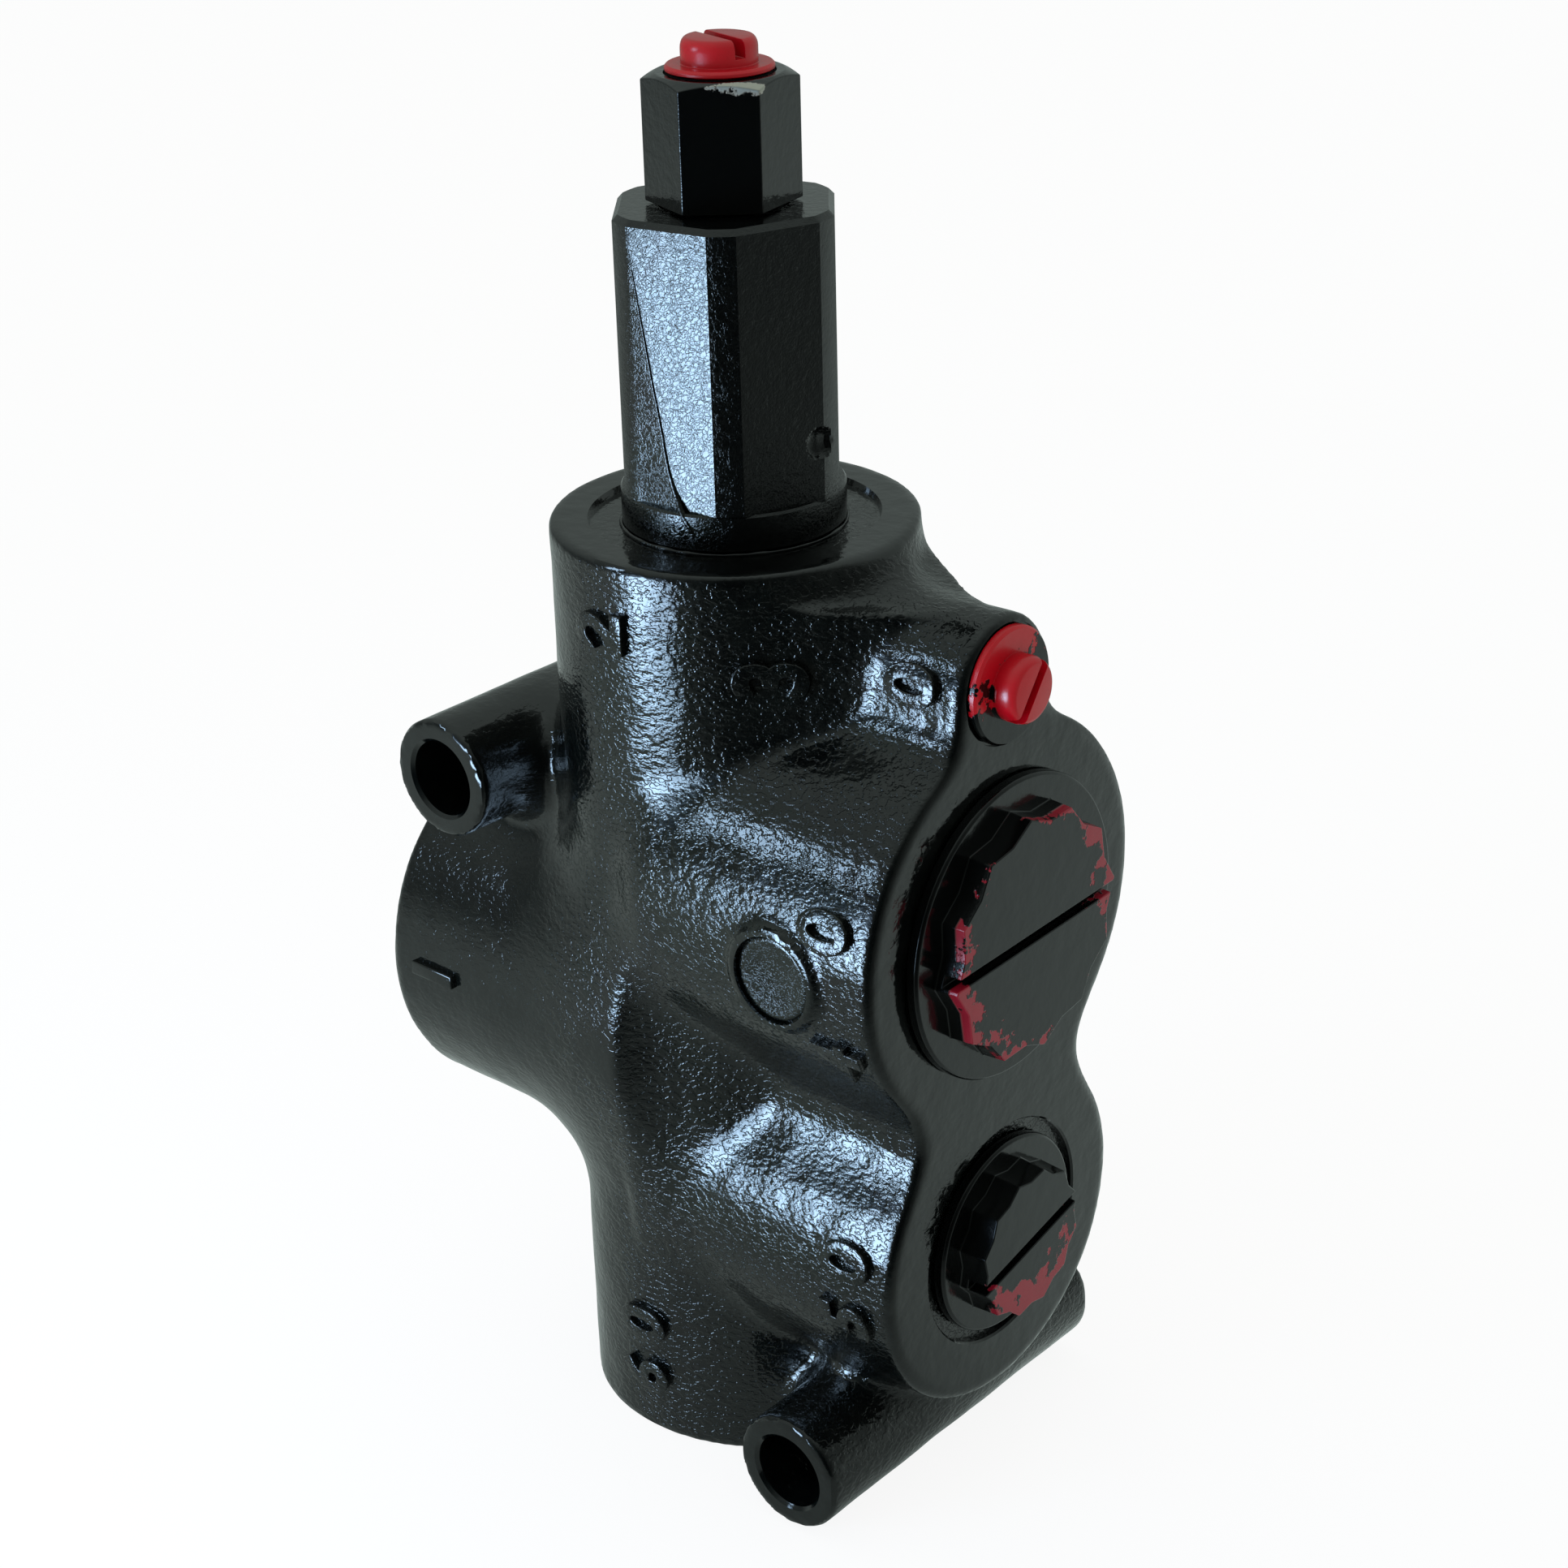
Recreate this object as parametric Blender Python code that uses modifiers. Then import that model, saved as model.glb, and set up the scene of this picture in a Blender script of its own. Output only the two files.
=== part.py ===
"""Load-sensing priority valve: a cast iron body with a spool, a relief cartridge and screwed port plugs.

Metres, +Z up. The spool bore is the Z axis, and z = 0 is the flat base of the body.
The two outlet ports and the signal port face +X, the inlet faces -X, and the mounting tubes run along Y.
"""
import bmesh
import bpy
import math
import numpy as np

# Driving dimensions of the casting
BODY_HEIGHT = 0.1235
BARREL_R = 0.0227
PORT_FACE_X = 0.0414
LARGE_Z = 0.0801
LARGE_R = 0.0259
SMALL_Z = 0.0364
SMALL_R = 0.0227
INLET_Z = 0.0583
INLET_R = 0.0256
INLET_FACE_X = 0.0414
SIGNAL_DROP = 0.0123
SIGNAL_R = 0.0083
TUBE_R = 0.0078
TUBE_HOLE_R = 0.0050
TUBE_HALF = 0.0272
UPPER_TUBE_X = 0.0270
UPPER_TUBE_Z = 0.0897
LOWER_TUBE_X = 0.0280
LOWER_TUBE_Z = 0.0086
OUTLET_FILLET = 0.0120
SIGNAL_FILLET = 0.0080
BARREL_FILLET = 0.0090
TUBE_FILLET = 0.0060
CAST_SPARE = 0.0060
CAST_FACE = 0.0038
CAST_SPREAD = 5

# Clearances
GAP = 0.0003
FIT = 0.0003

# Spool and its bore
BORE_R = 0.0090
GALLERY_R = 0.0122
GALLERY_H = 0.0120
SPOOL_WAIST_R = 0.0055
SPOOL_TOP_Z = 0.0960

# Bonnet: a hexagon whose corners are turned down, on a round collar
BONNET_THREAD_R = 0.0111
BONNET_COLLAR_R = 0.01375
BONNET_SPOTFACE_R = 0.0177
BONNET_SPOTFACE_DEEP = 0.0008
BONNET_COLLAR_TOP = 0.0041
BONNET_FLATS = 0.0257
BONNET_CORNER_R = 0.01395
BONNET_TOP = 0.0382
BONNET_NOSE = 0.0147
SPRING_ROOM_R = 0.0083

# Relief cartridge in the top of the bonnet
ADAPTER_FLATS = 0.0160
ADAPTER_TALL = 0.0149
ADAPTER_NOSE_R = 0.0064
ADAPTER_NOSE = 0.0110
ADAPTER_BORE_R = 0.0048
ADJUSTER_R = 0.0040
TOP_PORT_R = 0.0058
TOP_HEAD_R = 0.0045

# Springs: coil radius and half the wire's thickness
SPOOL_SPRING_R = 0.0066
SPOOL_SPRING_WIRE = 0.0010
RELIEF_SPRING_R = 0.0031
RELIEF_SPRING_WIRE = 0.0005

# Screwed plugs: thread radius, flange radius, head radius, flange top and head top above the face
LARGE_THREAD_R = 0.0130
LARGE_FLANGE_R = 0.0193
LARGE_HEAD_R = 0.0160
SMALL_THREAD_R = 0.0092
SMALL_FLANGE_R = 0.01315
SMALL_HEAD_R = 0.0102
SIGNAL_THREAD_R = 0.0053
SIGNAL_FLANGE_R = 0.0072
SIGNAL_HEAD_R = 0.0041
PILOT_THREAD_R = 0.0093
PILOT_HEAD_R = 0.0130
PILOT_HEAD_TALL = 0.0049
FLANGE_THICK = 0.0015
HEAD_TALL = 0.0032
SLOT_WIDE = 0.0014
LARGE_THREAD_LONG = 0.0140
SMALL_THREAD_LONG = 0.0120
SIGNAL_THREAD_LONG = 0.0095
TOP_THREAD_LONG = 0.0060
PILOT_THREAD_LONG = 0.0118

# Round steps used for each size of circle
ROUND = 40
SMALL_ROUND = 24
RING_ROUND = 20

for old in list(bpy.data.objects):
    bpy.data.objects.remove(old, do_unlink=True)

parts = bpy.data.collections.new("priority_valve")
cutters = bpy.data.collections.new("priority_valve_cutters")
bpy.context.scene.collection.children.link(parts)
bpy.context.scene.collection.children.link(cutters)


def paint(name, colour, rough, metal):
    """A Principled material with a plain colour."""
    made = bpy.data.materials.new(name)
    made.use_nodes = True
    shader = made.node_tree.nodes["Principled BSDF"]
    shader.inputs["Base Color"].default_value = (*colour, 1.0)
    shader.inputs["Roughness"].default_value = rough
    shader.inputs["Metallic"].default_value = metal
    return made


BLACK_PAINT = ((0.010, 0.011, 0.012), 0.12, 0.0)
RED_PLASTIC = ((0.55, 0.012, 0.025), 0.30, 0.0)
BLACK_RUBBER = ((0.015, 0.015, 0.015), 0.60, 0.0)
GROUND_STEEL = ((0.55, 0.56, 0.57), 0.22, 1.0)
SPRING_STEEL = ((0.30, 0.31, 0.33), 0.35, 1.0)


def add(name, mesh, look=None, at=(0, 0, 0), turn=(0, 0, 0), parent=None):
    """Puts a mesh in the scene as a part, or as a hidden cutter when it has no look."""
    thing = bpy.data.objects.new(name, mesh)
    thing.location = at
    thing.rotation_euler = turn
    if look is None:
        cutters.objects.link(thing)
        thing.hide_render = True
        thing.display_type = "WIRE"
        return thing
    parts.objects.link(thing)
    thing.data.materials.append(paint(name + "_paint", *look))
    if parent is not None:
        thing.parent = parent
    return thing


def axis_empty(name, at, turn=(0, 0, 0)):
    """An empty on the axis that a piece turns or slides on."""
    pivot = bpy.data.objects.new(name, None)
    pivot.location = at
    pivot.rotation_euler = turn
    parts.objects.link(pivot)
    return pivot


def cylinder(name, radius, low, high, at=(0, 0, 0), turn=(0, 0, 0), steps=ROUND, look=None, parent=None):
    """A solid cylinder along its own Z from low to high."""
    shape = bmesh.new()
    bmesh.ops.create_cone(shape, cap_ends=True, segments=steps, radius1=radius, radius2=radius,
                          depth=high - low)
    bmesh.ops.translate(shape, verts=shape.verts, vec=(0, 0, (low + high) / 2))
    mesh = bpy.data.meshes.new(name)
    shape.to_mesh(mesh)
    shape.free()
    return add(name, mesh, look, at, turn, parent)


def block(name, size, at):
    """A plain box cutter, centred on a point."""
    shape = bmesh.new()
    bmesh.ops.create_cube(shape, size=1.0)
    bmesh.ops.scale(shape, verts=shape.verts, vec=size)
    mesh = bpy.data.meshes.new(name)
    shape.to_mesh(mesh)
    shape.free()
    return add(name, mesh, None, at)


def turned(name, profile, steps=SMALL_ROUND, look=None, at=(0, 0, 0), turn=(0, 0, 0), closed=False,
           parent=None):
    """A turned piece: (radius, height) points from the top down the outer side, spun about its own Z."""
    mesh = bpy.data.meshes.new(name)
    count = len(profile)
    edges = [(i, i + 1) for i in range(count - 1)]
    if closed:
        edges.append((count - 1, 0))
    mesh.from_pydata([(r, 0.0, z) for r, z in profile], edges, [])
    thing = add(name, mesh, look, at, turn, parent)
    spin = thing.modifiers.new("spin", "SCREW")
    spin.axis = "Z"
    spin.angle = math.tau
    spin.steps = steps
    spin.render_steps = steps
    spin.use_merge_vertices = True
    spin.merge_threshold = 0.00001
    spin.use_smooth_shade = True
    return thing


def hexagon(name, flats, low, high, look=None):
    """A six-sided bar along Z with a corner at 30 degrees from X."""
    shape = bmesh.new()
    corner = flats / math.sqrt(3)
    bmesh.ops.create_cone(shape, cap_ends=True, segments=6, radius1=corner, radius2=corner, depth=high - low)
    bmesh.ops.translate(shape, verts=shape.verts, vec=(0, 0, (low + high) / 2))
    mesh = bpy.data.meshes.new(name)
    shape.to_mesh(mesh)
    shape.free()
    return add(name, mesh, look)


def combine(thing, other, how="DIFFERENCE"):
    """One Boolean step on a piece."""
    step = thing.modifiers.new(how.lower() + "_" + other.name, "BOOLEAN")
    step.operation = how
    step.object = other
    step.solver = "EXACT"
    return step


def ring(name, inner, outer, middle, look, at, turn, parent):
    """A round-section seal between two radii, centred at a height on its own axis."""
    minor = (outer - inner) / 2
    major = (outer + inner) / 2
    profile = []
    for k in range(5):
        a = math.tau * (k + 0.5) / 5
        profile.append((major + minor * math.sin(a), middle + minor * math.cos(a)))
    return turned(name, profile, RING_ROUND, look, at, turn, True, parent)


def threads(radius, top, low, crests, deep):
    """Profile points of a thread drawn as a few wide crests, from the top down."""
    points = []
    pitch = (top - low) / crests
    for k in range(crests):
        z = top - k * pitch
        points.append((radius, z - 0.15 * pitch))
        points.append((radius, z - 0.75 * pitch))
        if k < crests - 1:
            points.append((radius - deep, z - 0.95 * pitch))
    return points


def coil(name, radius, wire, low, high, turns, look, at):
    """A wound wire spring along Z, with a closed turn at each end."""
    per_turn = 10
    end = wire * 2.1
    run = bpy.data.curves.new(name, "CURVE")
    run.dimensions = "3D"
    spline = run.splines.new("POLY")
    total = int((turns + 2) * per_turn)
    spline.points.add(total)
    for k in range(total + 1):
        t = k / per_turn
        if t < 1:
            z = low + wire + end * t * 0.5
        elif t > turns + 1:
            z = high - wire - end * (turns + 2 - t) * 0.5
        else:
            a = low + wire + end * 0.5
            b = high - wire - end * 0.5
            z = a + (b - a) * (t - 1) / turns
        angle = math.tau * t
        spline.points[k].co = (radius * math.cos(angle), radius * math.sin(angle), z, 1.0)
    run.bevel_depth = wire
    run.bevel_resolution = 1
    run.use_fill_caps = True
    shape = bpy.data.objects.new(name + "_wire", run)
    parts.objects.link(shape)
    bpy.context.view_layer.update()
    mesh = bpy.data.meshes.new_from_object(shape.evaluated_get(bpy.context.evaluated_depsgraph_get()))
    bpy.data.objects.remove(shape, do_unlink=True)
    solid = bmesh.new()
    solid.from_mesh(mesh)
    bmesh.ops.remove_doubles(solid, verts=solid.verts, dist=0.000001)
    bmesh.ops.recalc_face_normals(solid, faces=solid.faces)
    solid.to_mesh(mesh)
    solid.free()
    mesh.name = name
    return add(name, mesh, look, at)


TO_PLUS_X = (0, math.pi / 2, 0)
TO_MINUS_X = (0, -math.pi / 2, 0)
ALONG_Y = (math.pi / 2, 0, 0)
UPSIDE_DOWN = (math.pi, 0, 0)

# Heights worked out from the driving dimensions
signal_z = BODY_HEIGHT - SIGNAL_DROP
spotface_floor = BODY_HEIGHT - BONNET_SPOTFACE_DEEP
bonnet_base = spotface_floor + GAP
bonnet_nose_z = bonnet_base - BONNET_NOSE
bonnet_top = BODY_HEIGHT + BONNET_TOP
chamber_top = bonnet_top - 0.0185
seat_floor = chamber_top + 0.0033
seat_room_top = bonnet_top - ADAPTER_NOSE - 0.0003
adapter_base = bonnet_top + GAP
adapter_nose_z = adapter_base - ADAPTER_NOSE
adapter_top = adapter_base + ADAPTER_TALL
spool_low = 0.0200
plug_room_top = spool_low - 0.0007

# Cast body: each boss as a rod that runs past the plane machined afterwards
# A row holds the rod's axis, a point on it, its radius, both ends, and its fillet to the rows before it
tube_end = TUBE_HALF + CAST_SPARE
bosses = {
    "large_boss": (0, (0, 0, LARGE_Z), LARGE_R, 0.0, PORT_FACE_X + CAST_SPARE, None),
    "small_boss": (0, (0, 0, SMALL_Z), SMALL_R, 0.0, PORT_FACE_X + CAST_SPARE, OUTLET_FILLET),
    "signal_boss": (0, (0, 0, signal_z), SIGNAL_R, 0.0, PORT_FACE_X + CAST_SPARE, SIGNAL_FILLET),
    "barrel": (2, (0, 0, 0), BARREL_R, -CAST_SPARE, BODY_HEIGHT + CAST_SPARE, BARREL_FILLET),
    "inlet_boss": (0, (0, 0, INLET_Z), INLET_R, -INLET_FACE_X - CAST_SPARE, 0.0, BARREL_FILLET),
    "upper_tube": (1, (-UPPER_TUBE_X, 0, UPPER_TUBE_Z), TUBE_R, -tube_end, tube_end, TUBE_FILLET),
    "lower_tube": (1, (LOWER_TUBE_X, 0, LOWER_TUBE_Z), TUBE_R, -tube_end, tube_end, TUBE_FILLET),
}


def rod_distance(points, axis, at, radius, low, high):
    """Signed distance from points to a capped round rod."""
    a, b = (k for k in range(3) if k != axis)
    side = np.hypot(points[:, a] - at[a], points[:, b] - at[b]) - radius
    end = np.abs(points[:, axis] - (low + high) / 2) - (high - low) / 2
    return np.minimum(np.maximum(side, end), 0) + np.hypot(np.maximum(side, 0), np.maximum(end, 0))


def cast_distance(points):
    """Signed distance to all the bosses, with each inside corner filled over its fillet's width."""
    skin = None
    for axis, at, radius, low, high, wide in bosses.values():
        near = rod_distance(points, axis, at, radius, low, high)
        if skin is None:
            skin = near
            continue
        shared = np.maximum(wide - np.abs(skin - near), 0) / wide
        skin = np.minimum(skin, near) - shared * shared * wide / 4
    return skin


def ease_onto_cast(mesh):
    """Slides a mesh's corners along the slope of the distance until they lie on the filleted surface."""
    points = np.empty(len(mesh.vertices) * 3)
    mesh.vertices.foreach_get("co", points)
    points = points.reshape(-1, 3)
    reach = 0.00002
    for _ in range(8):
        slope = np.empty_like(points)
        for k in range(3):
            shift = reach * np.eye(3)[k]
            slope[:, k] = (cast_distance(points + shift) - cast_distance(points - shift)) / (2 * reach)
        steep = np.maximum((slope * slope).sum(1, keepdims=True), 0.1)
        points = points - np.clip(cast_distance(points)[:, None] * slope / steep, -0.001, 0.001)
    mesh.vertices.foreach_set("co", points.ravel())
    mesh.update()


ALONG = {0: TO_PLUS_X, 1: (-math.pi / 2, 0, 0), 2: (0, 0, 0)}
rods = []
for name, (axis, at, radius, low, high, _) in bosses.items():
    rods.append(cylinder(name, radius, low, high, at, ALONG[axis]))
rough = rods[0]
for rod in rods[1:]:
    combine(rough, rod, "UNION")
even = rough.modifiers.new("even_faces", "REMESH")
even.mode = "VOXEL"
even.voxel_size = CAST_FACE
spread = rough.modifiers.new("spread_corners", "SMOOTH")
spread.factor = 0.5
spread.iterations = CAST_SPREAD
bpy.context.view_layer.update()
cast = bpy.data.meshes.new_from_object(rough.evaluated_get(bpy.context.evaluated_depsgraph_get()))
cast.transform(rough.matrix_world)
ease_onto_cast(cast)
body = add("valve_body", cast, BLACK_PAINT)
body.modifiers.new("flat_faces", "TRIANGULATE")
CORE_X = 0.0271
CORE_Z = LARGE_Z - 0.0013
CORE_R = 0.0053
pad_y = LARGE_R + 0.0006
combine(body, cylinder("core_pad", CORE_R + 0.0012, LARGE_R * 0.6, pad_y, (CORE_X, 0, CORE_Z), ALONG_Y,
                       SMALL_ROUND), "UNION")

# Machined faces, bores and galleries
large_hole = LARGE_THREAD_R + 2 * FIT
small_hole = SMALL_THREAD_R + 2 * FIT
signal_hole = SIGNAL_THREAD_R + FIT
seal_room = 0.0029
SMALL_SPOTFACE_R = SMALL_FLANGE_R + 0.0018
SMALL_SPOTFACE_DEEP = 0.0010
SIGNAL_SPOTFACE_DEEP = 0.0004
cuts = [
    block("port_face", (0.02, 0.12, 0.2), (PORT_FACE_X + 0.01, 0, BODY_HEIGHT / 2)),
    block("inlet_face", (0.02, 0.12, 0.2), (-INLET_FACE_X - 0.01, 0, BODY_HEIGHT / 2)),
    block("top_face", (0.12, 0.12, 0.02), (0, 0, BODY_HEIGHT + 0.01)),
    block("base_face", (0.12, 0.12, 0.02), (0, 0, -0.01)),
    block("front_face", (0.2, 0.02, 0.2), (0, -TUBE_HALF - 0.01, BODY_HEIGHT / 2)),
    block("back_face", (0.2, 0.02, 0.2), (0, TUBE_HALF + 0.01, BODY_HEIGHT / 2)),
    cylinder("bonnet_spotface", BONNET_SPOTFACE_R, spotface_floor, BODY_HEIGHT + 0.004),
    cylinder("bonnet_seal_room", BONNET_THREAD_R + 0.0021, spotface_floor - 0.0023, BODY_HEIGHT),
    cylinder("bonnet_hole", BONNET_THREAD_R + 0.0004, bonnet_nose_z - 0.0035, BODY_HEIGHT),
    cylinder("spool_bore", BORE_R, 0.008, BODY_HEIGHT - 0.004),
    cylinder("pilot_hole", PILOT_THREAD_R + 0.0005, 0.004, plug_room_top),
    cylinder("pilot_seal_room", PILOT_THREAD_R + 0.0023, 0.002, PILOT_HEAD_TALL + 0.0033),
    cylinder("pilot_spotface", PILOT_HEAD_R + 0.0005, -0.002, PILOT_HEAD_TALL + 0.0011),
    cylinder("upper_tube_hole", TUBE_HOLE_R, -0.04, 0.04, (-UPPER_TUBE_X, 0, UPPER_TUBE_Z), ALONG_Y,
             SMALL_ROUND),
    cylinder("lower_tube_hole", TUBE_HOLE_R, -0.04, 0.04, (LOWER_TUBE_X, 0, LOWER_TUBE_Z), ALONG_Y,
             SMALL_ROUND),
]
for name, z in (("large", LARGE_Z), ("inlet", INLET_Z), ("small", SMALL_Z)):
    cuts.append(cylinder(name + "_gallery", GALLERY_R, z - GALLERY_H / 2, z + GALLERY_H / 2))
for name, z, face, turn in (("large", LARGE_Z, PORT_FACE_X, TO_PLUS_X),
                            ("inlet", INLET_Z, INLET_FACE_X, TO_MINUS_X)):
    cuts.append(cylinder(name + "_port", large_hole, face - 0.0195, face + 0.004, (0, 0, z), turn))
    cuts.append(cylinder(name + "_seal_room", large_hole + 0.0020, face - seal_room, face + 0.005,
                         (0, 0, z), turn))
    cuts.append(cylinder(name + "_passage", 0.0070, 0.0, face - 0.012, (0, 0, z), turn, SMALL_ROUND))
small_face = PORT_FACE_X - SMALL_SPOTFACE_DEEP
cuts += [
    cylinder("small_spotface", SMALL_SPOTFACE_R, small_face, small_face + 0.006, (0, 0, SMALL_Z), TO_PLUS_X),
    cylinder("small_port", small_hole, small_face - 0.0165, small_face + 0.007, (0, 0, SMALL_Z), TO_PLUS_X),
    cylinder("small_seal_room", small_hole + 0.0020, small_face - seal_room, small_face + 0.008,
             (0, 0, SMALL_Z),
             TO_PLUS_X),
    cylinder("small_passage", 0.0055, 0.0, small_face - 0.010, (0, 0, SMALL_Z), TO_PLUS_X, SMALL_ROUND),
]
signal_face = PORT_FACE_X - SIGNAL_SPOTFACE_DEEP
signal_room_r = SIGNAL_THREAD_R + 0.0015
cuts += [
    cylinder("signal_port", signal_hole, signal_face - 0.0125, signal_face + 0.004, (0, 0, signal_z),
             TO_PLUS_X,
             SMALL_ROUND),
    cylinder("signal_spotface", SIGNAL_FLANGE_R + 0.0003, signal_face, signal_face + 0.005, (0, 0, signal_z),
             TO_PLUS_X, SMALL_ROUND),
    cylinder("signal_seal_room", signal_room_r, signal_face - 0.0017, signal_face + 0.006, (0, 0, signal_z),
             TO_PLUS_X, SMALL_ROUND),
    cylinder("signal_passage", 0.0022, 0.0, signal_face - 0.011, (0, 0, signal_z - 0.0052),
             (0, math.pi / 2, 0), 16),
    cylinder("core_room", CORE_R + FIT, pad_y - 0.0016, pad_y + 0.004, (CORE_X, 0, CORE_Z), ALONG_Y,
             SMALL_ROUND),
]
orifice_x = signal_face - 0.0185
for cut in cuts:
    combine(body, cut)

# Bonnet over the spool spring
bonnet = turned("bonnet", [
    (0.0, bonnet_top), (BONNET_CORNER_R - 0.0012, bonnet_top), (BONNET_CORNER_R, bonnet_top - 0.0007),
    (BONNET_CORNER_R, BODY_HEIGHT + BONNET_COLLAR_TOP), (BONNET_COLLAR_R, BODY_HEIGHT + BONNET_COLLAR_TOP),
    (BONNET_COLLAR_R, bonnet_base), (BONNET_THREAD_R - 0.0008, bonnet_base),
    (BONNET_THREAD_R - 0.0008, bonnet_base - 0.0030),
    *threads(BONNET_THREAD_R, bonnet_base - 0.0030, bonnet_nose_z, 2, 0.0006),
    (BONNET_THREAD_R - 0.0006, bonnet_nose_z), (0.0, bonnet_nose_z)], ROUND, BLACK_PAINT)
flats = hexagon("bonnet_flats", BONNET_FLATS, BODY_HEIGHT + BONNET_COLLAR_TOP, bonnet_top + 0.001)
flats.rotation_euler = (0, 0, math.radians(-80.0))
outside = cylinder("bonnet_outside", BONNET_CORNER_R + 0.01, BODY_HEIGHT + BONNET_COLLAR_TOP,
                   bonnet_top + 0.0005)
combine(outside, flats)
combine(bonnet, outside)
combine(bonnet, cylinder("spring_room", SPRING_ROOM_R, bonnet_nose_z - 0.002, chamber_top, steps=SMALL_ROUND))
combine(bonnet, cylinder("relief_passage", 0.0025, chamber_top - 0.002, bonnet_top, steps=16))
combine(bonnet, cylinder("seat_room", 0.0056, seat_floor, bonnet_top + 0.001, steps=SMALL_ROUND))
combine(bonnet, cylinder("adapter_hole", ADAPTER_NOSE_R + FIT, seat_room_top, bonnet_top + 0.002,
                         steps=SMALL_ROUND))
combine(bonnet, cylinder("adapter_seal_room", ADAPTER_NOSE_R + 0.0014, bonnet_top - 0.0013,
                         bonnet_top + 0.003,
                         steps=SMALL_ROUND))
ring("bonnet_seal", BONNET_THREAD_R + FIT, BONNET_THREAD_R + 0.0018, spotface_floor - 0.0011, BLACK_RUBBER,
     (0, 0, 0), (0, 0, 0), None)

# Relief cartridge
adapter = hexagon("adapter", ADAPTER_FLATS, adapter_base, adapter_top, BLACK_PAINT)
adapter.rotation_euler = (0, 0, math.radians(-49.4))
corner = ADAPTER_FLATS / math.sqrt(3)
crown = turned("adapter_crown", [
    (0.0, adapter_top + 0.0001), (ADAPTER_FLATS / 2 - 0.0004, adapter_top + 0.0001),
    (corner + 0.0004, adapter_top - 0.0012), (corner + 0.0004, adapter_base - 0.002),
    (0.0, adapter_base - 0.002)])
combine(adapter, crown, "INTERSECT")
nose = turned("adapter_nose", [
    (0.0, adapter_base + 0.002), (ADAPTER_NOSE_R, adapter_base + 0.002),
    (ADAPTER_NOSE_R, adapter_base - 0.0020),
    *threads(ADAPTER_NOSE_R, adapter_base - 0.0020, adapter_nose_z, 2, 0.0005),
    (ADAPTER_NOSE_R - 0.0004, adapter_nose_z), (0.0, adapter_nose_z)])
combine(adapter, nose, "UNION")
button_top = adapter_base + 0.0025
combine(adapter, cylinder("poppet_room", ADAPTER_BORE_R, adapter_nose_z - 0.002, button_top + GAP,
                          steps=SMALL_ROUND))
combine(adapter, cylinder("adjuster_hole", ADJUSTER_R + FIT, button_top - 0.001, adapter_top,
                          steps=SMALL_ROUND))
combine(adapter, cylinder("top_port", TOP_PORT_R, adapter_top - 0.0079, adapter_top + 0.002,
                          steps=SMALL_ROUND))
WASHER_DEEP = 0.0009
combine(adapter, cylinder("washer_room", TOP_PORT_R + 0.0007, adapter_top - WASHER_DEEP, adapter_top + 0.003,
                          steps=SMALL_ROUND))
ring("adapter_seal", ADAPTER_NOSE_R + FIT, ADAPTER_NOSE_R + 0.0011, bonnet_top - 0.0006, BLACK_RUBBER,
     (0, 0, 0), (0, 0, 0), None)

seat_low = seat_floor + GAP
seat_top = adapter_nose_z - GAP
turned("relief_seat", [
    (0.0053, seat_top), (0.0053, seat_low), (0.0016, seat_low), (0.0016, seat_top - 0.0006),
    (0.0022, seat_top)],
    SMALL_ROUND, GROUND_STEEL, closed=True)
poppet_low = seat_top + GAP
turned("relief_poppet", [
    (0.0, poppet_low + 0.0078), (0.0017, poppet_low + 0.0078), (0.0017, poppet_low + 0.0046),
    (0.0044, poppet_low + 0.0046), (0.0044, poppet_low + 0.0022), (0.0026, poppet_low),
    (0.0012, poppet_low - 0.0010), (0.0, poppet_low - 0.0010)], RING_ROUND, GROUND_STEEL)
button_low = button_top - 0.0017
coil("relief_spring", RELIEF_SPRING_R, RELIEF_SPRING_WIRE, poppet_low + 0.0046 + GAP, button_low - GAP, 2,
     SPRING_STEEL, (0, 0, 0))
turned("relief_button", [
    (0.0, button_top), (ADAPTER_BORE_R - FIT, button_top), (ADAPTER_BORE_R - FIT, button_low),
    (0.0, button_low)],
    RING_ROUND, GROUND_STEEL)
adjuster_top = adapter_top - 0.0072
adjuster = turned("relief_adjuster", [
    (0.0, adjuster_top), (ADJUSTER_R, adjuster_top), (ADJUSTER_R, button_top + 0.0012),
    (ADJUSTER_R - 0.0010, button_top + GAP), (0.0, button_top + GAP)], RING_ROUND, GROUND_STEEL)
combine(adjuster, hexagon("adjuster_socket", 0.0035, adjuster_top - 0.0020, adjuster_top + 0.001))


def star(name, radius, low, high):
    """A twelve-point star bar along its own Z, used for the heads that a box spanner turns."""
    shape = bmesh.new()
    bmesh.ops.create_cone(shape, cap_ends=True, segments=24, radius1=radius, radius2=radius, depth=high - low)
    bmesh.ops.translate(shape, verts=shape.verts, vec=(0, 0, (low + high) / 2))
    for corner_point in shape.verts:
        step = round(math.atan2(corner_point.co.y, corner_point.co.x) / (math.tau / 24))
        if step % 2:
            corner_point.co.x *= 0.915
            corner_point.co.y *= 0.915
    mesh = bpy.data.meshes.new(name)
    shape.to_mesh(mesh)
    shape.free()
    return mesh


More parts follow.
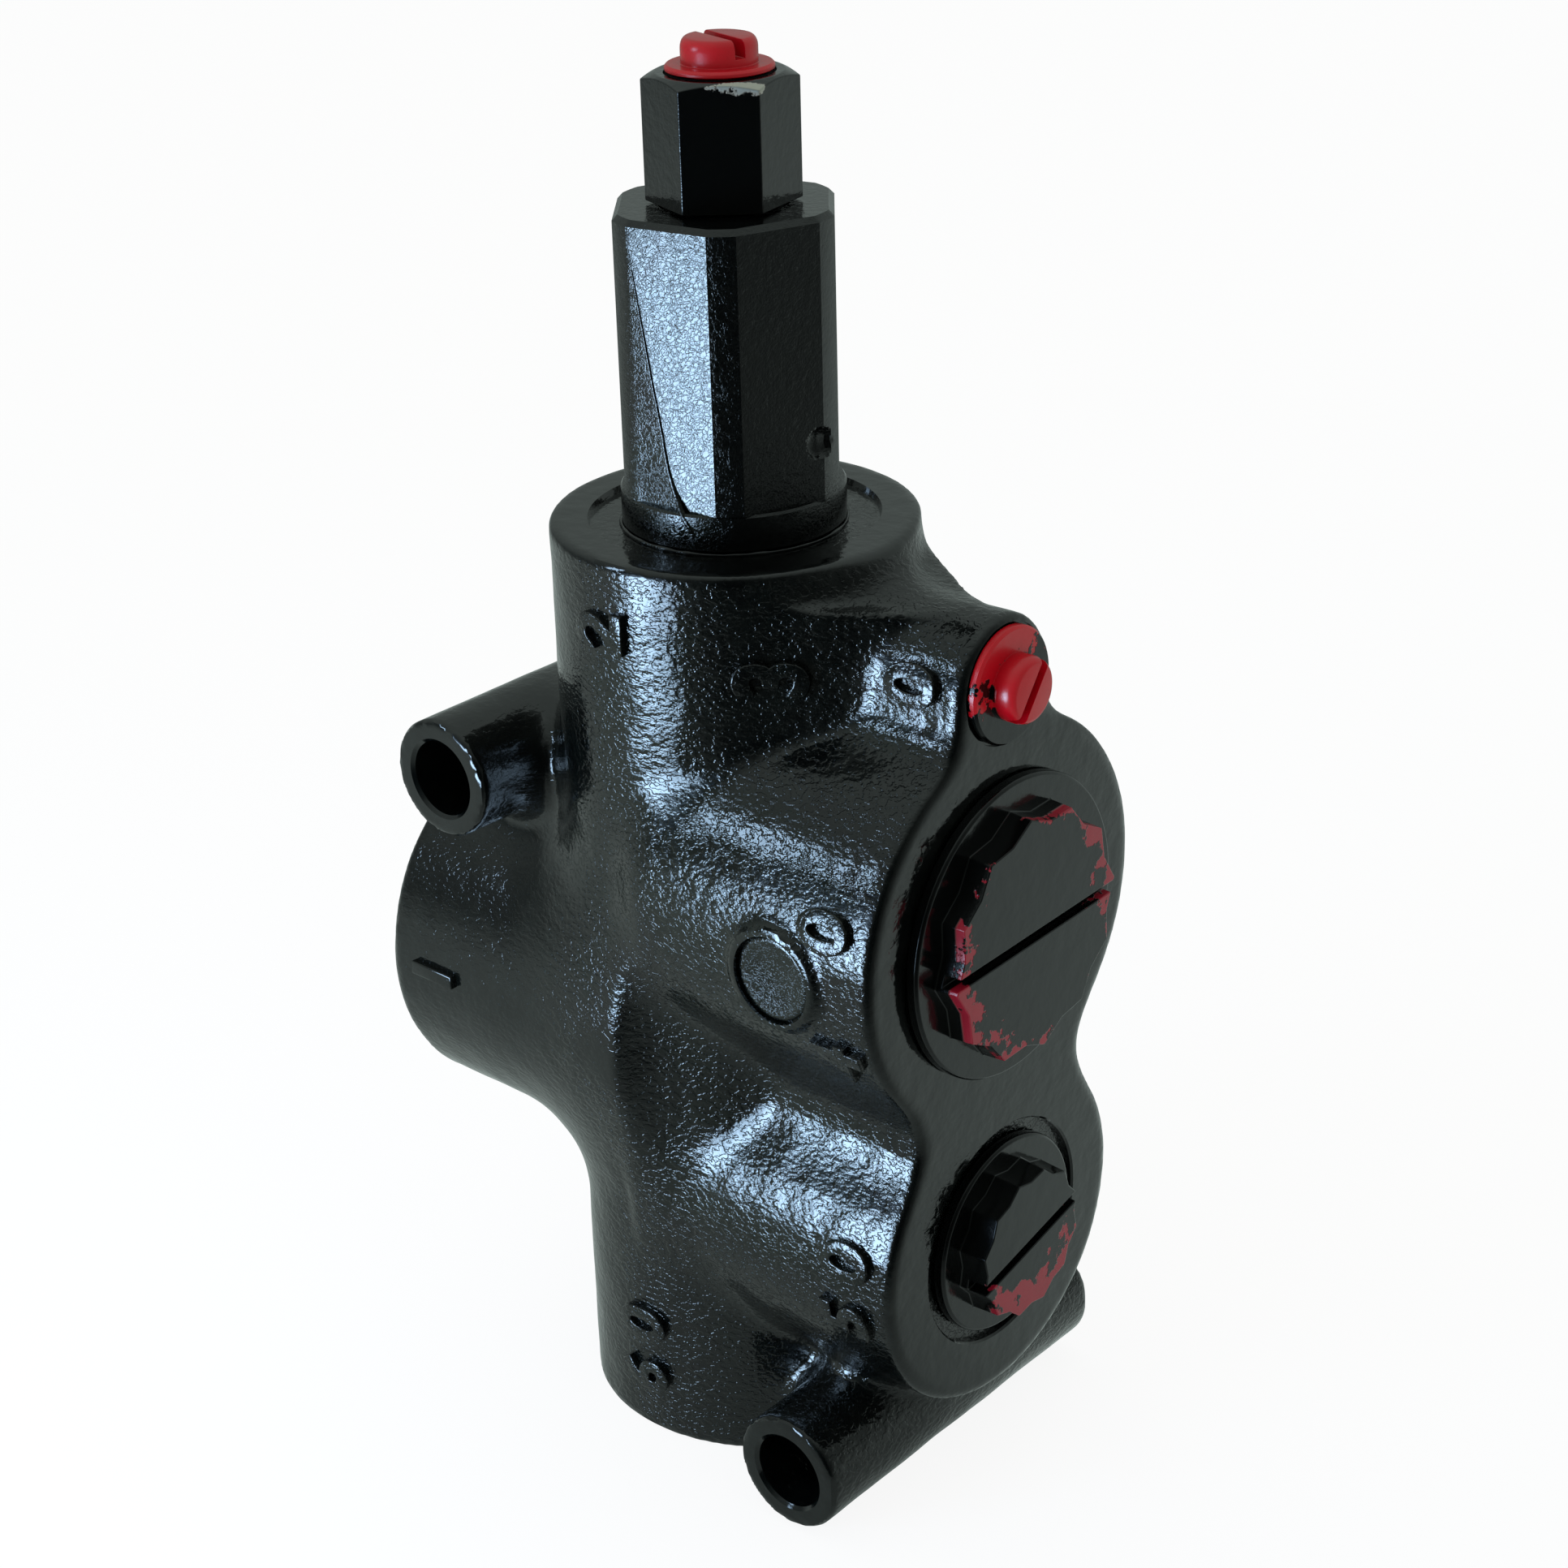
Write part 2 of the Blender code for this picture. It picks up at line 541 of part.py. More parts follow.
def screw_plug(name, thread_r, flange_r, head_r, length, at, turn, points=True, flange=FLANGE_THICK,
               head=HEAD_TALL, slot_turn=0.0, star_turn=0.0, steps=SMALL_ROUND):
    """A flanged, slotted plug that screws down along its own Z, with the port's face at z = 0."""
    under = GAP
    top = under + flange
    pivot = axis_empty(name + "_axis", at, turn)
    plug = turned(name, [
        (0.0, top), (flange_r - 0.0004, top), (flange_r, top - 0.0004), (flange_r, under),
        (thread_r - 0.0010, under), (thread_r - 0.0010, -0.0026),
        *threads(thread_r, -0.0026, -length, 2, 0.0008),
        (thread_r - 0.0008, -length), (0.0, -length)], steps, RED_PLASTIC, parent=pivot)
    slot_deep = head * 0.7
    if points:
        raised = add(name + "_head", star(name + "_head", head_r, top - 0.0006, top + head))
    else:
        raised = cylinder(name + "_head", head_r, top - 0.0006, top + head, steps=steps)
    raised.parent = pivot
    raised.rotation_euler = (0, 0, star_turn)
    combine(plug, raised, "UNION")
    slot = block(name + "_slot", (SLOT_WIDE, head_r * 2.4, 0.01), (0, 0, 0))
    slot.parent = pivot
    slot.location = (0, 0, top + head - slot_deep + 0.005)
    slot.rotation_euler = (0, 0, slot_turn)
    combine(plug, slot)
    return pivot


excess_axis = screw_plug("large_outlet_plug", LARGE_THREAD_R, LARGE_FLANGE_R, LARGE_HEAD_R, LARGE_THREAD_LONG,
                         (PORT_FACE_X, 0, LARGE_Z), TO_PLUS_X, slot_turn=math.radians(1.7),
                         star_turn=math.radians(5.8))
ring("large_outlet_seal", LARGE_THREAD_R + FIT - 0.0006, large_hole + 0.0016, -0.0014, BLACK_RUBBER,
     (0, 0, 0),
     (0, 0, 0), excess_axis)
control_axis = screw_plug("small_outlet_plug", SMALL_THREAD_R, SMALL_FLANGE_R, SMALL_HEAD_R,
                          SMALL_THREAD_LONG,
                          (small_face, 0, SMALL_Z), TO_PLUS_X, head=0.0038, slot_turn=math.radians(13.7),
                          star_turn=math.radians(16))
ring("small_outlet_seal", SMALL_THREAD_R + FIT - 0.0006, small_hole + 0.0016, -0.0014, BLACK_RUBBER,
     (0, 0, 0),
     (0, 0, 0), control_axis)
signal_axis = screw_plug("signal_plug", SIGNAL_THREAD_R, SIGNAL_FLANGE_R, SIGNAL_HEAD_R, SIGNAL_THREAD_LONG,
                         (signal_face, 0, signal_z), TO_PLUS_X, points=False, flange=0.0011, head=0.0030,
                         slot_turn=math.radians(54), steps=RING_ROUND)
ring("signal_seal", SIGNAL_THREAD_R - 0.0001, signal_room_r - 0.0003, -0.0008, BLACK_RUBBER, (0, 0, 0),
     (0, 0, 0),
     signal_axis)
inlet_axis = screw_plug("inlet_plug", LARGE_THREAD_R, LARGE_FLANGE_R, LARGE_HEAD_R, LARGE_THREAD_LONG,
                        (-INLET_FACE_X, 0, INLET_Z), TO_MINUS_X, slot_turn=math.radians(20))
ring("inlet_seal", LARGE_THREAD_R + FIT - 0.0006, large_hole + 0.0016, -0.0014, BLACK_RUBBER, (0, 0, 0),
     (0, 0, 0),
     inlet_axis)

# Plastic plug in the top of the cartridge, on a flat washer
washer_top = adapter_top - 0.0001
washer_low = adapter_top - WASHER_DEEP + GAP
turned("top_plug_washer", [
    (TOP_PORT_R + 0.0004, washer_top), (TOP_PORT_R + 0.0004, washer_low), (TOP_PORT_R - 0.0003, washer_low),
    (TOP_PORT_R - 0.0003, washer_top)], RING_ROUND, BLACK_RUBBER, closed=True)
top_axis = screw_plug("top_plug", TOP_PORT_R - 0.0006, TOP_PORT_R + 0.0006, TOP_HEAD_R, TOP_THREAD_LONG,
                      (0, 0, washer_top), (0, 0, 0), points=False, flange=0.0007, head=0.0030,
                      slot_turn=math.radians(75), steps=RING_ROUND)

# Sunken steel plug that closes the pilot end of the bore, so that the valve stands on its base
pilot_axis = axis_empty("pilot_plug_axis", (0, 0, PILOT_HEAD_TALL + 0.0008), UPSIDE_DOWN)
pilot = turned("pilot_plug", [
    (0.0, PILOT_HEAD_TALL - 0.0003), (PILOT_HEAD_R - 0.0006, PILOT_HEAD_TALL - 0.0003),
    (PILOT_HEAD_R, PILOT_HEAD_TALL - 0.0009), (PILOT_HEAD_R, 0.0), (PILOT_THREAD_R - 0.0010, 0.0),
    (PILOT_THREAD_R - 0.0010, -0.0030),
    *threads(PILOT_THREAD_R, -0.0030, -PILOT_THREAD_LONG, 2, 0.0007),
    (PILOT_THREAD_R - 0.0007, -PILOT_THREAD_LONG), (0.0, -PILOT_THREAD_LONG)], SMALL_ROUND, BLACK_PAINT,
    parent=pilot_axis)
socket = hexagon("pilot_socket", 0.0079, PILOT_HEAD_TALL - 0.0045, PILOT_HEAD_TALL + 0.001)
socket.parent = pilot_axis
combine(pilot, socket)
ring("pilot_seal", PILOT_THREAD_R - 0.0003, PILOT_THREAD_R + 0.0017, -0.0014, BLACK_RUBBER, (0, 0, 0),
     (0, 0, 0),
     pilot_axis)

# Spool, at rest against the pilot plug with the inlet open to the small outlet
land_r = BORE_R - FIT
waist_low = SMALL_Z + 0.0016
waist_high = INLET_Z + 0.0077
spool = turned("spool", [
    (0.0, SPOOL_TOP_Z + 0.0060), (0.0042, SPOOL_TOP_Z + 0.0060), (0.0046, SPOOL_TOP_Z + 0.0050),
    (0.0046, SPOOL_TOP_Z), (land_r, SPOOL_TOP_Z), (land_r, waist_high),
    (SPOOL_WAIST_R, waist_high - 0.0006), (SPOOL_WAIST_R, waist_low + 0.0006), (land_r, waist_low),
    (land_r, spool_low + 0.0100), (land_r - 0.0006, spool_low + 0.0098),
    (land_r - 0.0006, spool_low + 0.0086),
    (land_r, spool_low + 0.0084), (land_r, spool_low + 0.0006), (land_r - 0.0008, spool_low),
    (0.0, spool_low)],
    SMALL_ROUND, GROUND_STEEL)
combine(spool, cylinder("spool_drilling", 0.0026, spool_low - 0.001, INLET_Z, steps=16))
combine(spool, cylinder("spool_cross_hole", 0.0015, -0.02, 0.02, (0, 0, INLET_Z - 0.003), ALONG_Y, 16))
turned("spool_orifice", [
    (0.0023, spool_low + 0.0060), (0.0023, spool_low + 0.0008), (0.0006, spool_low + 0.0008),
    (0.0006, spool_low + 0.0060)], 16, GROUND_STEEL, closed=True)

# Spool spring and the washer that it pushes against in the bonnet
turned("spring_washer", [
    (SPRING_ROOM_R - FIT, chamber_top - GAP), (SPRING_ROOM_R - FIT, chamber_top - GAP - 0.0016),
    (0.0030, chamber_top - GAP - 0.0016), (0.0030, chamber_top - GAP)], RING_ROUND, GROUND_STEEL, closed=True)
coil("spool_spring", SPOOL_SPRING_R, SPOOL_SPRING_WIRE, SPOOL_TOP_Z + GAP, chamber_top - 2 * GAP - 0.0016,
     6, SPRING_STEEL, (0, 0, 0))

# Damping orifice pressed in the signal passage, and the cap that closes the casting's core hole
turned("signal_orifice", [
    (0.0019, 0.0040), (0.0019, 0.0), (0.0005, 0.0), (0.0005, 0.0040)], 16, GROUND_STEEL,
    (orifice_x, 0, signal_z - 0.0052), TO_PLUS_X, True)
turned("core_cap", [
    (0.0, pad_y - 0.0005), (CORE_R - 0.0008, pad_y - 0.0005), (CORE_R, pad_y - 0.0009),
    (CORE_R, pad_y - 0.0013),
    (0.0, pad_y - 0.0013)], SMALL_ROUND, BLACK_PAINT, (CORE_X, 0, CORE_Z), ALONG_Y)

for thing in parts.objects:
    if thing.type == "MESH":
        thing.data.shade_smooth()
        thing.data.set_sharp_from_angle(angle=math.radians(35))
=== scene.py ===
# %% [markdown]
# # A painted hydraulic priority valve
# A cast iron valve body with a hexagon bonnet on top, sprayed gloss black with its red shipping plugs still
# in the ports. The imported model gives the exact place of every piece; this script adds the skin: soft cast
# corners, sharp machined rims, thick paint and plugs that the spray only half covers.

import functools
import math

import bmesh
import bpy
import numpy as np
from mathutils import Matrix, Vector


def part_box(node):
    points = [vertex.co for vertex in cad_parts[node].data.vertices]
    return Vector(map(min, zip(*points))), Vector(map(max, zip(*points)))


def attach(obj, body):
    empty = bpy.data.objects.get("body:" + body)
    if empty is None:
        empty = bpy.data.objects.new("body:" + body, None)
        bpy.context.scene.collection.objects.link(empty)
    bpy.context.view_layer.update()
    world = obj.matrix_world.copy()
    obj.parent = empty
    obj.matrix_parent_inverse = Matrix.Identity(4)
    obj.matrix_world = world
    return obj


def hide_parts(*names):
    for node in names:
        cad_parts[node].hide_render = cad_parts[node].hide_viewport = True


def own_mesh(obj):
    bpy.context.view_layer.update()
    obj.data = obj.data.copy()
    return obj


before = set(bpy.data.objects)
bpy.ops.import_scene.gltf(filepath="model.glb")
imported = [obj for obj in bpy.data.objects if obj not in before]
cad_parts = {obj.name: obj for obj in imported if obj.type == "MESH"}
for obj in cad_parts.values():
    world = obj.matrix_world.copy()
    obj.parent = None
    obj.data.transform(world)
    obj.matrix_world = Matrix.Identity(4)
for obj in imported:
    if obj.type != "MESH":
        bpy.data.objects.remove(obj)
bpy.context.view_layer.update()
MM = 0.001
body_low, body_high = (np.array(corner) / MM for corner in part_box("valve_body"))
print("valve body in mm:", body_low.round(1), body_high.round(1))

# %% [markdown]
# ## Colours and nodes
# Paint colours are easiest to write as the hex values that a picture shows, but shaders count in linear
# light, so one function turns the first into the second. Another adds any shader node and gives its output,
# so that each material reads as a short recipe. Sockets are filled in order or by name; a MapRange node gets
# its value, the range it comes from and the range it goes to.


# %% Colour and node helpers
def linear(hex_colour):
    """An sRGB hex colour such as "#c8142d" as a linear RGBA colour."""
    parts = [int(hex_colour[k:k + 2], 16) / 255 for k in (1, 3, 5)]
    return (*[c / 12.92 if c <= 0.04045 else ((c + 0.055) / 1.055) ** 2.4 for c in parts], 1.0)


def feed(node, inputs):
    """Sets a node's sockets, in order or by name: an output is linked, anything else is a plain value."""
    for socket, value in inputs.items() if isinstance(inputs, dict) else enumerate(inputs):
        if isinstance(value, bpy.types.NodeSocket):
            node.id_data.links.new(value, node.inputs[socket])
        else:
            node.inputs[socket].default_value = value


def add_node(tree, kind, inputs=(), **settings):
    """Adds one shader node and gives its first live output."""
    node = tree.nodes.new("ShaderNode" + kind)
    for setting, value in settings.items():
        setattr(node, setting, value)
    feed(node, inputs)
    return next(out for out in node.outputs if out.enabled)


def start_material(name):
    """A new material, with a maker of nodes for it, its shader and the object's own coordinates."""
    material = bpy.data.materials.new(name)
    material.use_nodes = True
    add = functools.partial(add_node, material.node_tree)
    return material, add, material.node_tree.nodes["Principled BSDF"], add("TexCoord").node.outputs["Object"]


print("red plastic in linear light:", [round(c, 3) for c in linear("#c8142d")])

# %% [markdown]
# ## Gloss enamel over sand-cast iron
# The body was sprayed with thick oil enamel straight on to the casting. Sand leaves grains about a
# millimetre across, the paint pools over them, and each highlight breaks into bright beads. The coat is
# smoother towards the inlet and on the faces that were cut flat before painting. The grain could be an
# image, but noise nodes in millimetres look the same from every side, and a mask from the position finds the
# cut faces.

# %% Gloss enamel over sand-cast iron
SAND_GRAIN, PAINT_RIPPLE = 0.75, 3.2
GRAIN_SQUEEZE = (0.8, 0.8, 1.25)
RIPPLE_HIGH, SWELL_HIGH, BEAD_HIGH = 0.20, 0.06, 0.033
CUT_SKIN, CUT_GRAIN = 0.5, 0.10
SMOOTH_X, ROUGH_X, SMOOTH_GRAIN = -16.0, -2.0, 0.35
ENAMEL_IOR = 1.6

cast_enamel, add, shader, place = start_material("black_enamel_on_sand_cast_iron")
squeezed = add("VectorMath", [place, GRAIN_SQUEEZE], operation="MULTIPLY")
lumps = add("TexNoise", {"Vector": squeezed, "Scale": 1 / (SAND_GRAIN * MM)})
grain = add("MapRange", [lumps, 0.45, 0.55], interpolation_type="SMOOTHSTEP")
ripple = add("TexNoise", {"Vector": place, "Scale": 1 / (PAINT_RIPPLE * MM)})
axes = add("SeparateXYZ", {"Vector": place}).node.outputs
cut = None
for axis, sign, face in (("X", 1, body_high[0]), ("X", -1, -body_low[0]), ("Z", 1, body_high[2]),
                         ("Y", 1, body_high[1]), ("Y", -1, -body_low[1]), ("Z", -1, 0.0)):
    along = add("Math", [axes[axis], sign / MM], operation="MULTIPLY")
    near = add("MapRange", [along, face - 2 * CUT_SKIN, face - CUT_SKIN])
    cut = near if cut is None else add("Math", [cut, near], operation="MAXIMUM")
rough = add("MapRange", [cut, 0.0, 1.0, 1.0, CUT_GRAIN])
grain_left = add("MapRange", [axes["X"], SMOOTH_X * MM, ROUGH_X * MM, SMOOTH_GRAIN, 1.0])
rough = add("Math", [rough, grain_left], operation="MULTIPLY")
ripples = add("Bump", {"Height": ripple, "Strength": 0.5, "Distance": RIPPLE_HIGH * MM})
swells = add("Bump", {"Height": lumps, "Strength": rough, "Distance": SWELL_HIGH * MM, "Normal": ripples})
beads = add("Bump", {"Height": grain, "Strength": rough, "Distance": BEAD_HIGH * MM, "Normal": swells})
thin_paint = add("MapRange", [ripple, 0.35, 0.7])
tone = add("Mix", {"Factor": thin_paint, "A": linear("#030404"), "B": linear("#070908")}, data_type="RGBA")
gloss = add("MapRange", [grain, 0.0, 1.0, 0.06, 0.11])
feed(shader, {"Base Color": tone, "Roughness": gloss, "Normal": beads, "IOR": ENAMEL_IOR})
print("made", cast_enamel.name)

# %% [markdown]
# ## Gloss enamel over turned steel
# Bonnet and relief cartridge are turned and milled from bar, so the same paint lies smoother there, with a
# spray gun's fine orange peel, and on the bonnet it has drawn together in wrinkles. At the top front edge of
# the small hexagon a spanner has knocked the paint off, and a few flakes of bare steel show. They could be
# painted on an unwrapped mesh, but a mask by height, side and noise needs no unwrapping.

# %% Gloss enamel over turned steel
ORANGE_PEEL, WRINKLE, WRINKLE_CREASE = 1.1, 0.6, 0.13
PEEL_HIGH, WRINKLE_HIGH, WRINKLE_SHIFT = 0.07, 0.022, 2.4
FLAKE, FLAKE_BAND, FLAKE_WAY, FLAKE_FROM, FLAKE_TO = 1.1, 2.2, (0.78, -0.62, 0.0), 6.9, 8.2
cartridge_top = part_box("adapter")[1].z / MM
WRINKLES_END = cartridge_top - 15.5

turned_enamel, add, shader, place = start_material("black_enamel_on_turned_steel")
peel = add("TexNoise", {"Vector": place, "Scale": 1 / (ORANGE_PEEL * MM), "Detail": 3.0, "Roughness": 0.6})
height = add("SeparateXYZ", {"Vector": place}).node.outputs["Z"]
shifted = add("VectorMath", [peel, (WRINKLE_SHIFT * MM,) * 3, place], operation="MULTIPLY_ADD")
crease = add("TexVoronoi", {"Vector": shifted, "Scale": 1 / (WRINKLE * MM)}, feature="DISTANCE_TO_EDGE")
wrinkle = add("MapRange", [crease, 0.0, WRINKLE_CREASE])
on_bonnet = add("MapRange", [height, WRINKLES_END * MM, (WRINKLES_END + 0.5) * MM, 0.5, 0.03])
wrinkles = add("Bump", {"Height": wrinkle, "Strength": on_bonnet, "Distance": WRINKLE_HIGH * MM})
peeled = add("Bump", {"Height": peel, "Distance": PEEL_HIGH * MM, "Normal": wrinkles})
high = add("MapRange", [height, (cartridge_top - FLAKE_BAND) * MM, cartridge_top * MM])
flake_side = add("VectorMath", [place, FLAKE_WAY], operation="DOT_PRODUCT")
front = add("MapRange", [flake_side, FLAKE_FROM * MM, FLAKE_TO * MM])
speckle = add("TexNoise", {"Vector": place, "Scale": 1 / (FLAKE * MM), "Detail": 4.0, "Roughness": 0.7})
knocked = add("Math", [high, front], operation="MULTIPLY")
knocked = add("Math", [knocked, speckle], operation="MULTIPLY")
bare = add("MapRange", [knocked, 0.20, 0.25])
tone = add("Mix", {"Factor": bare, "A": linear("#040505"), "B": linear("#d2cfc4")}, data_type="RGBA")
gloss = add("MapRange", [bare, 0.0, 1.0, 0.09, 0.55])
feed(shader, {"Base Color": tone, "Metallic": bare, "Roughness": gloss, "Normal": peeled, "IOR": ENAMEL_IOR})
print("made", turned_enamel.name)

# %% [markdown]
# ## Moulded red polyethylene under black over-spray
# The shipping plugs are moulded in soft red polyethylene, which paint doesn't hold well. The spray covers
# the middle of each head, and where it has flaked at the rim the red shows with ragged edges. The mask is a
# sum of the distance from the axis, the side, and noise about three millimetres wide. The signal and top
# plugs were cleaned or sheltered, so they keep a fresher red. On the signal plug the flange is black from
# over-spray next to the head and from painted shade on its lower side, away from the window. The threaded
# stems sat inside the ports and stayed red.

# %% Moulded red polyethylene under black over-spray
ISLAND, ISLAND_WEIGHT, PATCH_EDGE, FADE, STEM_TOP = 3.0, 1.6, 0.04, 0.3, 0.2
PAINT_THICK, PLASTIC_WAVE, PLASTIC_IOR = 0.12, 0.2, 1.52
FRESH_RED, DULL_RED = ("#9a000d", "#a90516"), ("#7c0e20", "#861124")
NEVER = 99.0


def red_plug_finish(name, reds, head_radius, red_side, bare_rim, cover, bare_above=-NEVER, clean_above=NEVER,
                    both_sides=False):
    """Red plastic with paint over it.

    red_side is the way that the red patch faces, bare_rim how bare the rim is, cover the share left black.
    In mm over the port's face, bare patches start at bare_above and the paint ends at clean_above.
    """
    material, add, shader, place = start_material(name)
    scale = 1 / (head_radius * MM)
    unit = add("VectorMath", [place, (scale, scale, 0.0)], operation="MULTIPLY")
    rim = add("VectorMath", [unit], operation="LENGTH")
    side = add("VectorMath", [unit, (*red_side, 0.0)], operation="DOT_PRODUCT")
    if both_sides:
        side = add("Math", [side], operation="ABSOLUTE")
    island = add("TexNoise", {"Vector": place, "Scale": 1 / (ISLAND * MM), "Detail": 4.0, "Roughness": 0.6})
    weight = add("Math", [rim, bare_rim, side], operation="MULTIPLY_ADD")
    weight = add("Math", [island, ISLAND_WEIGHT, weight], operation="MULTIPLY_ADD")
    patches = add("MapRange", [weight, cover, cover + PATCH_EDGE])
    height = add("SeparateXYZ", {"Vector": place}).node.outputs["Z"]
    on_head, clean = (add("MapRange", [height, z * MM, (z + FADE) * MM]) for z in (bare_above, clean_above))
    red_shows = add("Math", [patches, on_head, clean], operation="MULTIPLY_ADD", use_clamp=True)
    sheltered = add("MapRange", [height, STEM_TOP * MM, 0.0])
    red_shows = add("Math", [red_shows, sheltered], operation="MAXIMUM")
    faded = add("Mix", {"Factor": island, "A": linear(reds[0]), "B": linear(reds[1])}, data_type="RGBA")
    tone = add("Mix", {"Factor": red_shows, "A": linear("#040505"), "B": faded}, data_type="RGBA")
    gloss = add("MapRange", [red_shows, 0.0, 1.0, 0.13, 0.26])
    step = add("MapRange", [red_shows, 0.0, 1.0, 1.0, 0.0])
    edge = add("Bump", {"Height": step, "Strength": 0.6, "Distance": PAINT_THICK * MM})
    skin = add("Bump", {"Height": island, "Strength": 0.25, "Distance": PLASTIC_WAVE * MM, "Normal": edge})
    feed(shader, {"Base Color": tone, "Roughness": gloss, "Normal": skin, "IOR": PLASTIC_IOR})
    print("made", name)
    return material


# %% [markdown]
# ## Inner metals and rubber
# Seals are black nitrile rubber, moulded and matt. Spool, seat and poppet are ground steel, whose fine lines
# run round the axis, and the springs are oiled drawn wire. They are hidden until a plug comes out, so all
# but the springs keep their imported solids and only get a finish.

# %% Inner metals and rubber
GRIND_LINE, WIRE_MARK, RUBBER_BLOOM = 0.12, 0.8, 1.6
GRIND_STRETCH = (0.08, 0.08, 1.0)

nitrile, add, shader, place = start_material("moulded_nitrile_rubber")
bloom = add("TexNoise", {"Vector": place, "Scale": 1 / (RUBBER_BLOOM * MM)})
tone = add("Mix", {"Factor": bloom, "A": linear("#141414"), "B": linear("#232323")}, data_type="RGBA")
feed(shader, {"Base Color": tone, "Roughness": 0.6})

ground_steel, add, shader, place = start_material("ground_steel")
stretch = add("VectorMath", [place, GRIND_STRETCH], operation="MULTIPLY")
lines = add("TexNoise", {"Vector": stretch, "Scale": 1 / (GRIND_LINE * MM)})
gloss = add("MapRange", [lines, 0.0, 1.0, 0.16, 0.34])
feed(shader, {"Base Color": linear("#c3c5c6"), "Roughness": gloss, "Metallic": 1.0})

spring_wire, add, shader, place = start_material("oiled_drawn_wire")
marks = add("TexNoise", {"Vector": place, "Scale": 1 / (WIRE_MARK * MM), "Detail": 3.0})
tone = add("Mix", {"Factor": marks, "A": linear("#55575a"), "B": linear("#8b8d90")}, data_type="RGBA")
feed(shader, {"Base Color": tone, "Roughness": 0.35, "Metallic": 1.0})

kept_nodes = {
    nitrile: ("bonnet_seal", "adapter_seal", "large_outlet_seal", "small_outlet_seal", "signal_seal",
              "inlet_seal", "top_plug_washer", "pilot_seal"),
    ground_steel: ("spool", "spool_orifice", "relief_seat", "relief_poppet", "relief_button",
                   "relief_adjuster", "spring_washer", "signal_orifice"),
    turned_enamel: ("pilot_plug",),
}
for finish, names in kept_nodes.items():
    for name in names:
        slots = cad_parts[name].data.materials
        slots.clear()
        slots.append(finish)
print("finished", sum(len(names) for names in kept_nodes.values()), "nodes of the packed model")

# %% [markdown]
# ## The cast body as a distance field
# A casting has no sharp inside corners: the bosses run into each other in wide fillets. Bevels on Booleans
# break down where five cylinders meet, so the body is drawn as a signed distance field instead. Each boss is
# the distance to a round rod, two rods join with a smooth minimum whose width is the fillet, and a flat face
# is a smooth maximum with a narrow one. The same field later lays the raised numbers on the surface.


# %% Distances to rods, fillets and trims
def rod(points, axis, at, radius, low, high):
    """Signed distance in mm from points to a capped round rod along an axis."""
    a, b = (k for k in range(3) if k != axis)
    side = np.hypot(points[:, a] - at[a], points[:, b] - at[b]) - radius
    end = np.abs(points[:, axis] - (low + high) / 2) - (high - low) / 2
    return np.minimum(np.maximum(side, end), 0) + np.hypot(np.maximum(side, 0), np.maximum(end, 0))


def fillet(a, b, wide):
    """Joins two distances, with the inside corner filled over a width in mm."""
    near = np.maximum(wide - np.abs(a - b), 0) / wide
    return np.minimum(a, b) - near * near * wide / 4


def trim(a, b, wide):
    """Keeps what is in both distances, with the outside corner eased over a width in mm."""
    return -fillet(-a, -b, wide)


# %% [markdown]
# The bosses: a barrel round the spool, a large and a small outlet boss towards +X with the little signal
# boss and its web above them, the inlet boss towards -X, and two bolt tubes along Y. Faces and height are
# read from the frame, and the radii are those of the solids. Waves of a few lengths add the mould's
# unevenness.

# %% The cast shape
face_x, inlet_x, tube_end, tower_top = body_high[0], body_low[0], body_high[1], body_high[2]
BARREL_R = 22.7
LARGE_Z, LARGE_R = 80.1, 25.9
SMALL_Z, SMALL_R = 36.4, 22.7
INLET_Z, INLET_R = 58.3, 25.6
SIGNAL_Z, SIGNAL_R = tower_top - 12.3, 8.3
TUBE_R, TUBES = 7.8, ((-27.0, 89.7), (28.0, 8.6))
CORE_X, CORE_Z, CORE_PAD_R, CORE_PAD_LONG = 27.1, 78.8, 6.5, 8.0
core_face = LARGE_R + 0.6
OVER = 6.0
END_ROUND, END_START = 9.0, 6.5
OUTLET_FILLET, TOWER_FILLET, SIGNAL_FILLET = 12.0, 2.5, 8.0
INLET_FILLET, TUBE_FILLET, PAD_FILLET = 9.0, 6.0, 1.5
PORT_EASE, INLET_EASE, END_EASE, TUBE_EASE = 1.3, 1.4, 0.9, 0.7
WEB_FILLET, WEB_START, WEB_END, WEB_WAY = 4.0, (13.0, 18.5), 36.0, (0.56, 0.83)
WEB_EASE, WEB_LOW, WEB_JOIN = 0.5, LARGE_Z + 18.0, 1.0
LUMP_WAVES = ((14.0, 0.03, 6), (6.0, 0.013, 8), (3.0, 0.006, 12))
draw = np.random.default_rng(7)
lump_waves = []
for length, height, count in LUMP_WAVES:
    ways = draw.normal(size=(count, 3))
    ways *= math.tau / length / np.linalg.norm(ways, axis=1, keepdims=True)
    lump_waves.append((ways, draw.uniform(0, math.tau, count), height * math.sqrt(2 / count)))


def sand_lumps(points):
    """The mould's unevenness in mm: sums of waves in all directions, from long swells to single lumps."""
    total = np.zeros(len(points))
    for ways, starts, height in lump_waves:
        for way, start in zip(ways, starts):
            total += height * np.sin(points @ way + start)
    return total


def web_shape(points, tower):
    """Signed distance to the web that runs from the tower to the signal boss."""
    x, y, z = points.T
    web = fillet(tower, z - SIGNAL_Z - SIGNAL_R, WEB_FILLET)
    web = trim(web, WEB_WAY[0] * (x - WEB_START[0]) + WEB_WAY[1] * (np.abs(y) - WEB_START[1]), WEB_EASE)
    ends = np.abs(x - (WEB_START[0] + WEB_END) / 2) - (WEB_END - WEB_START[0]) / 2
    return trim(trim(web, ends, WEB_EASE), WEB_LOW - z, WEB_JOIN)


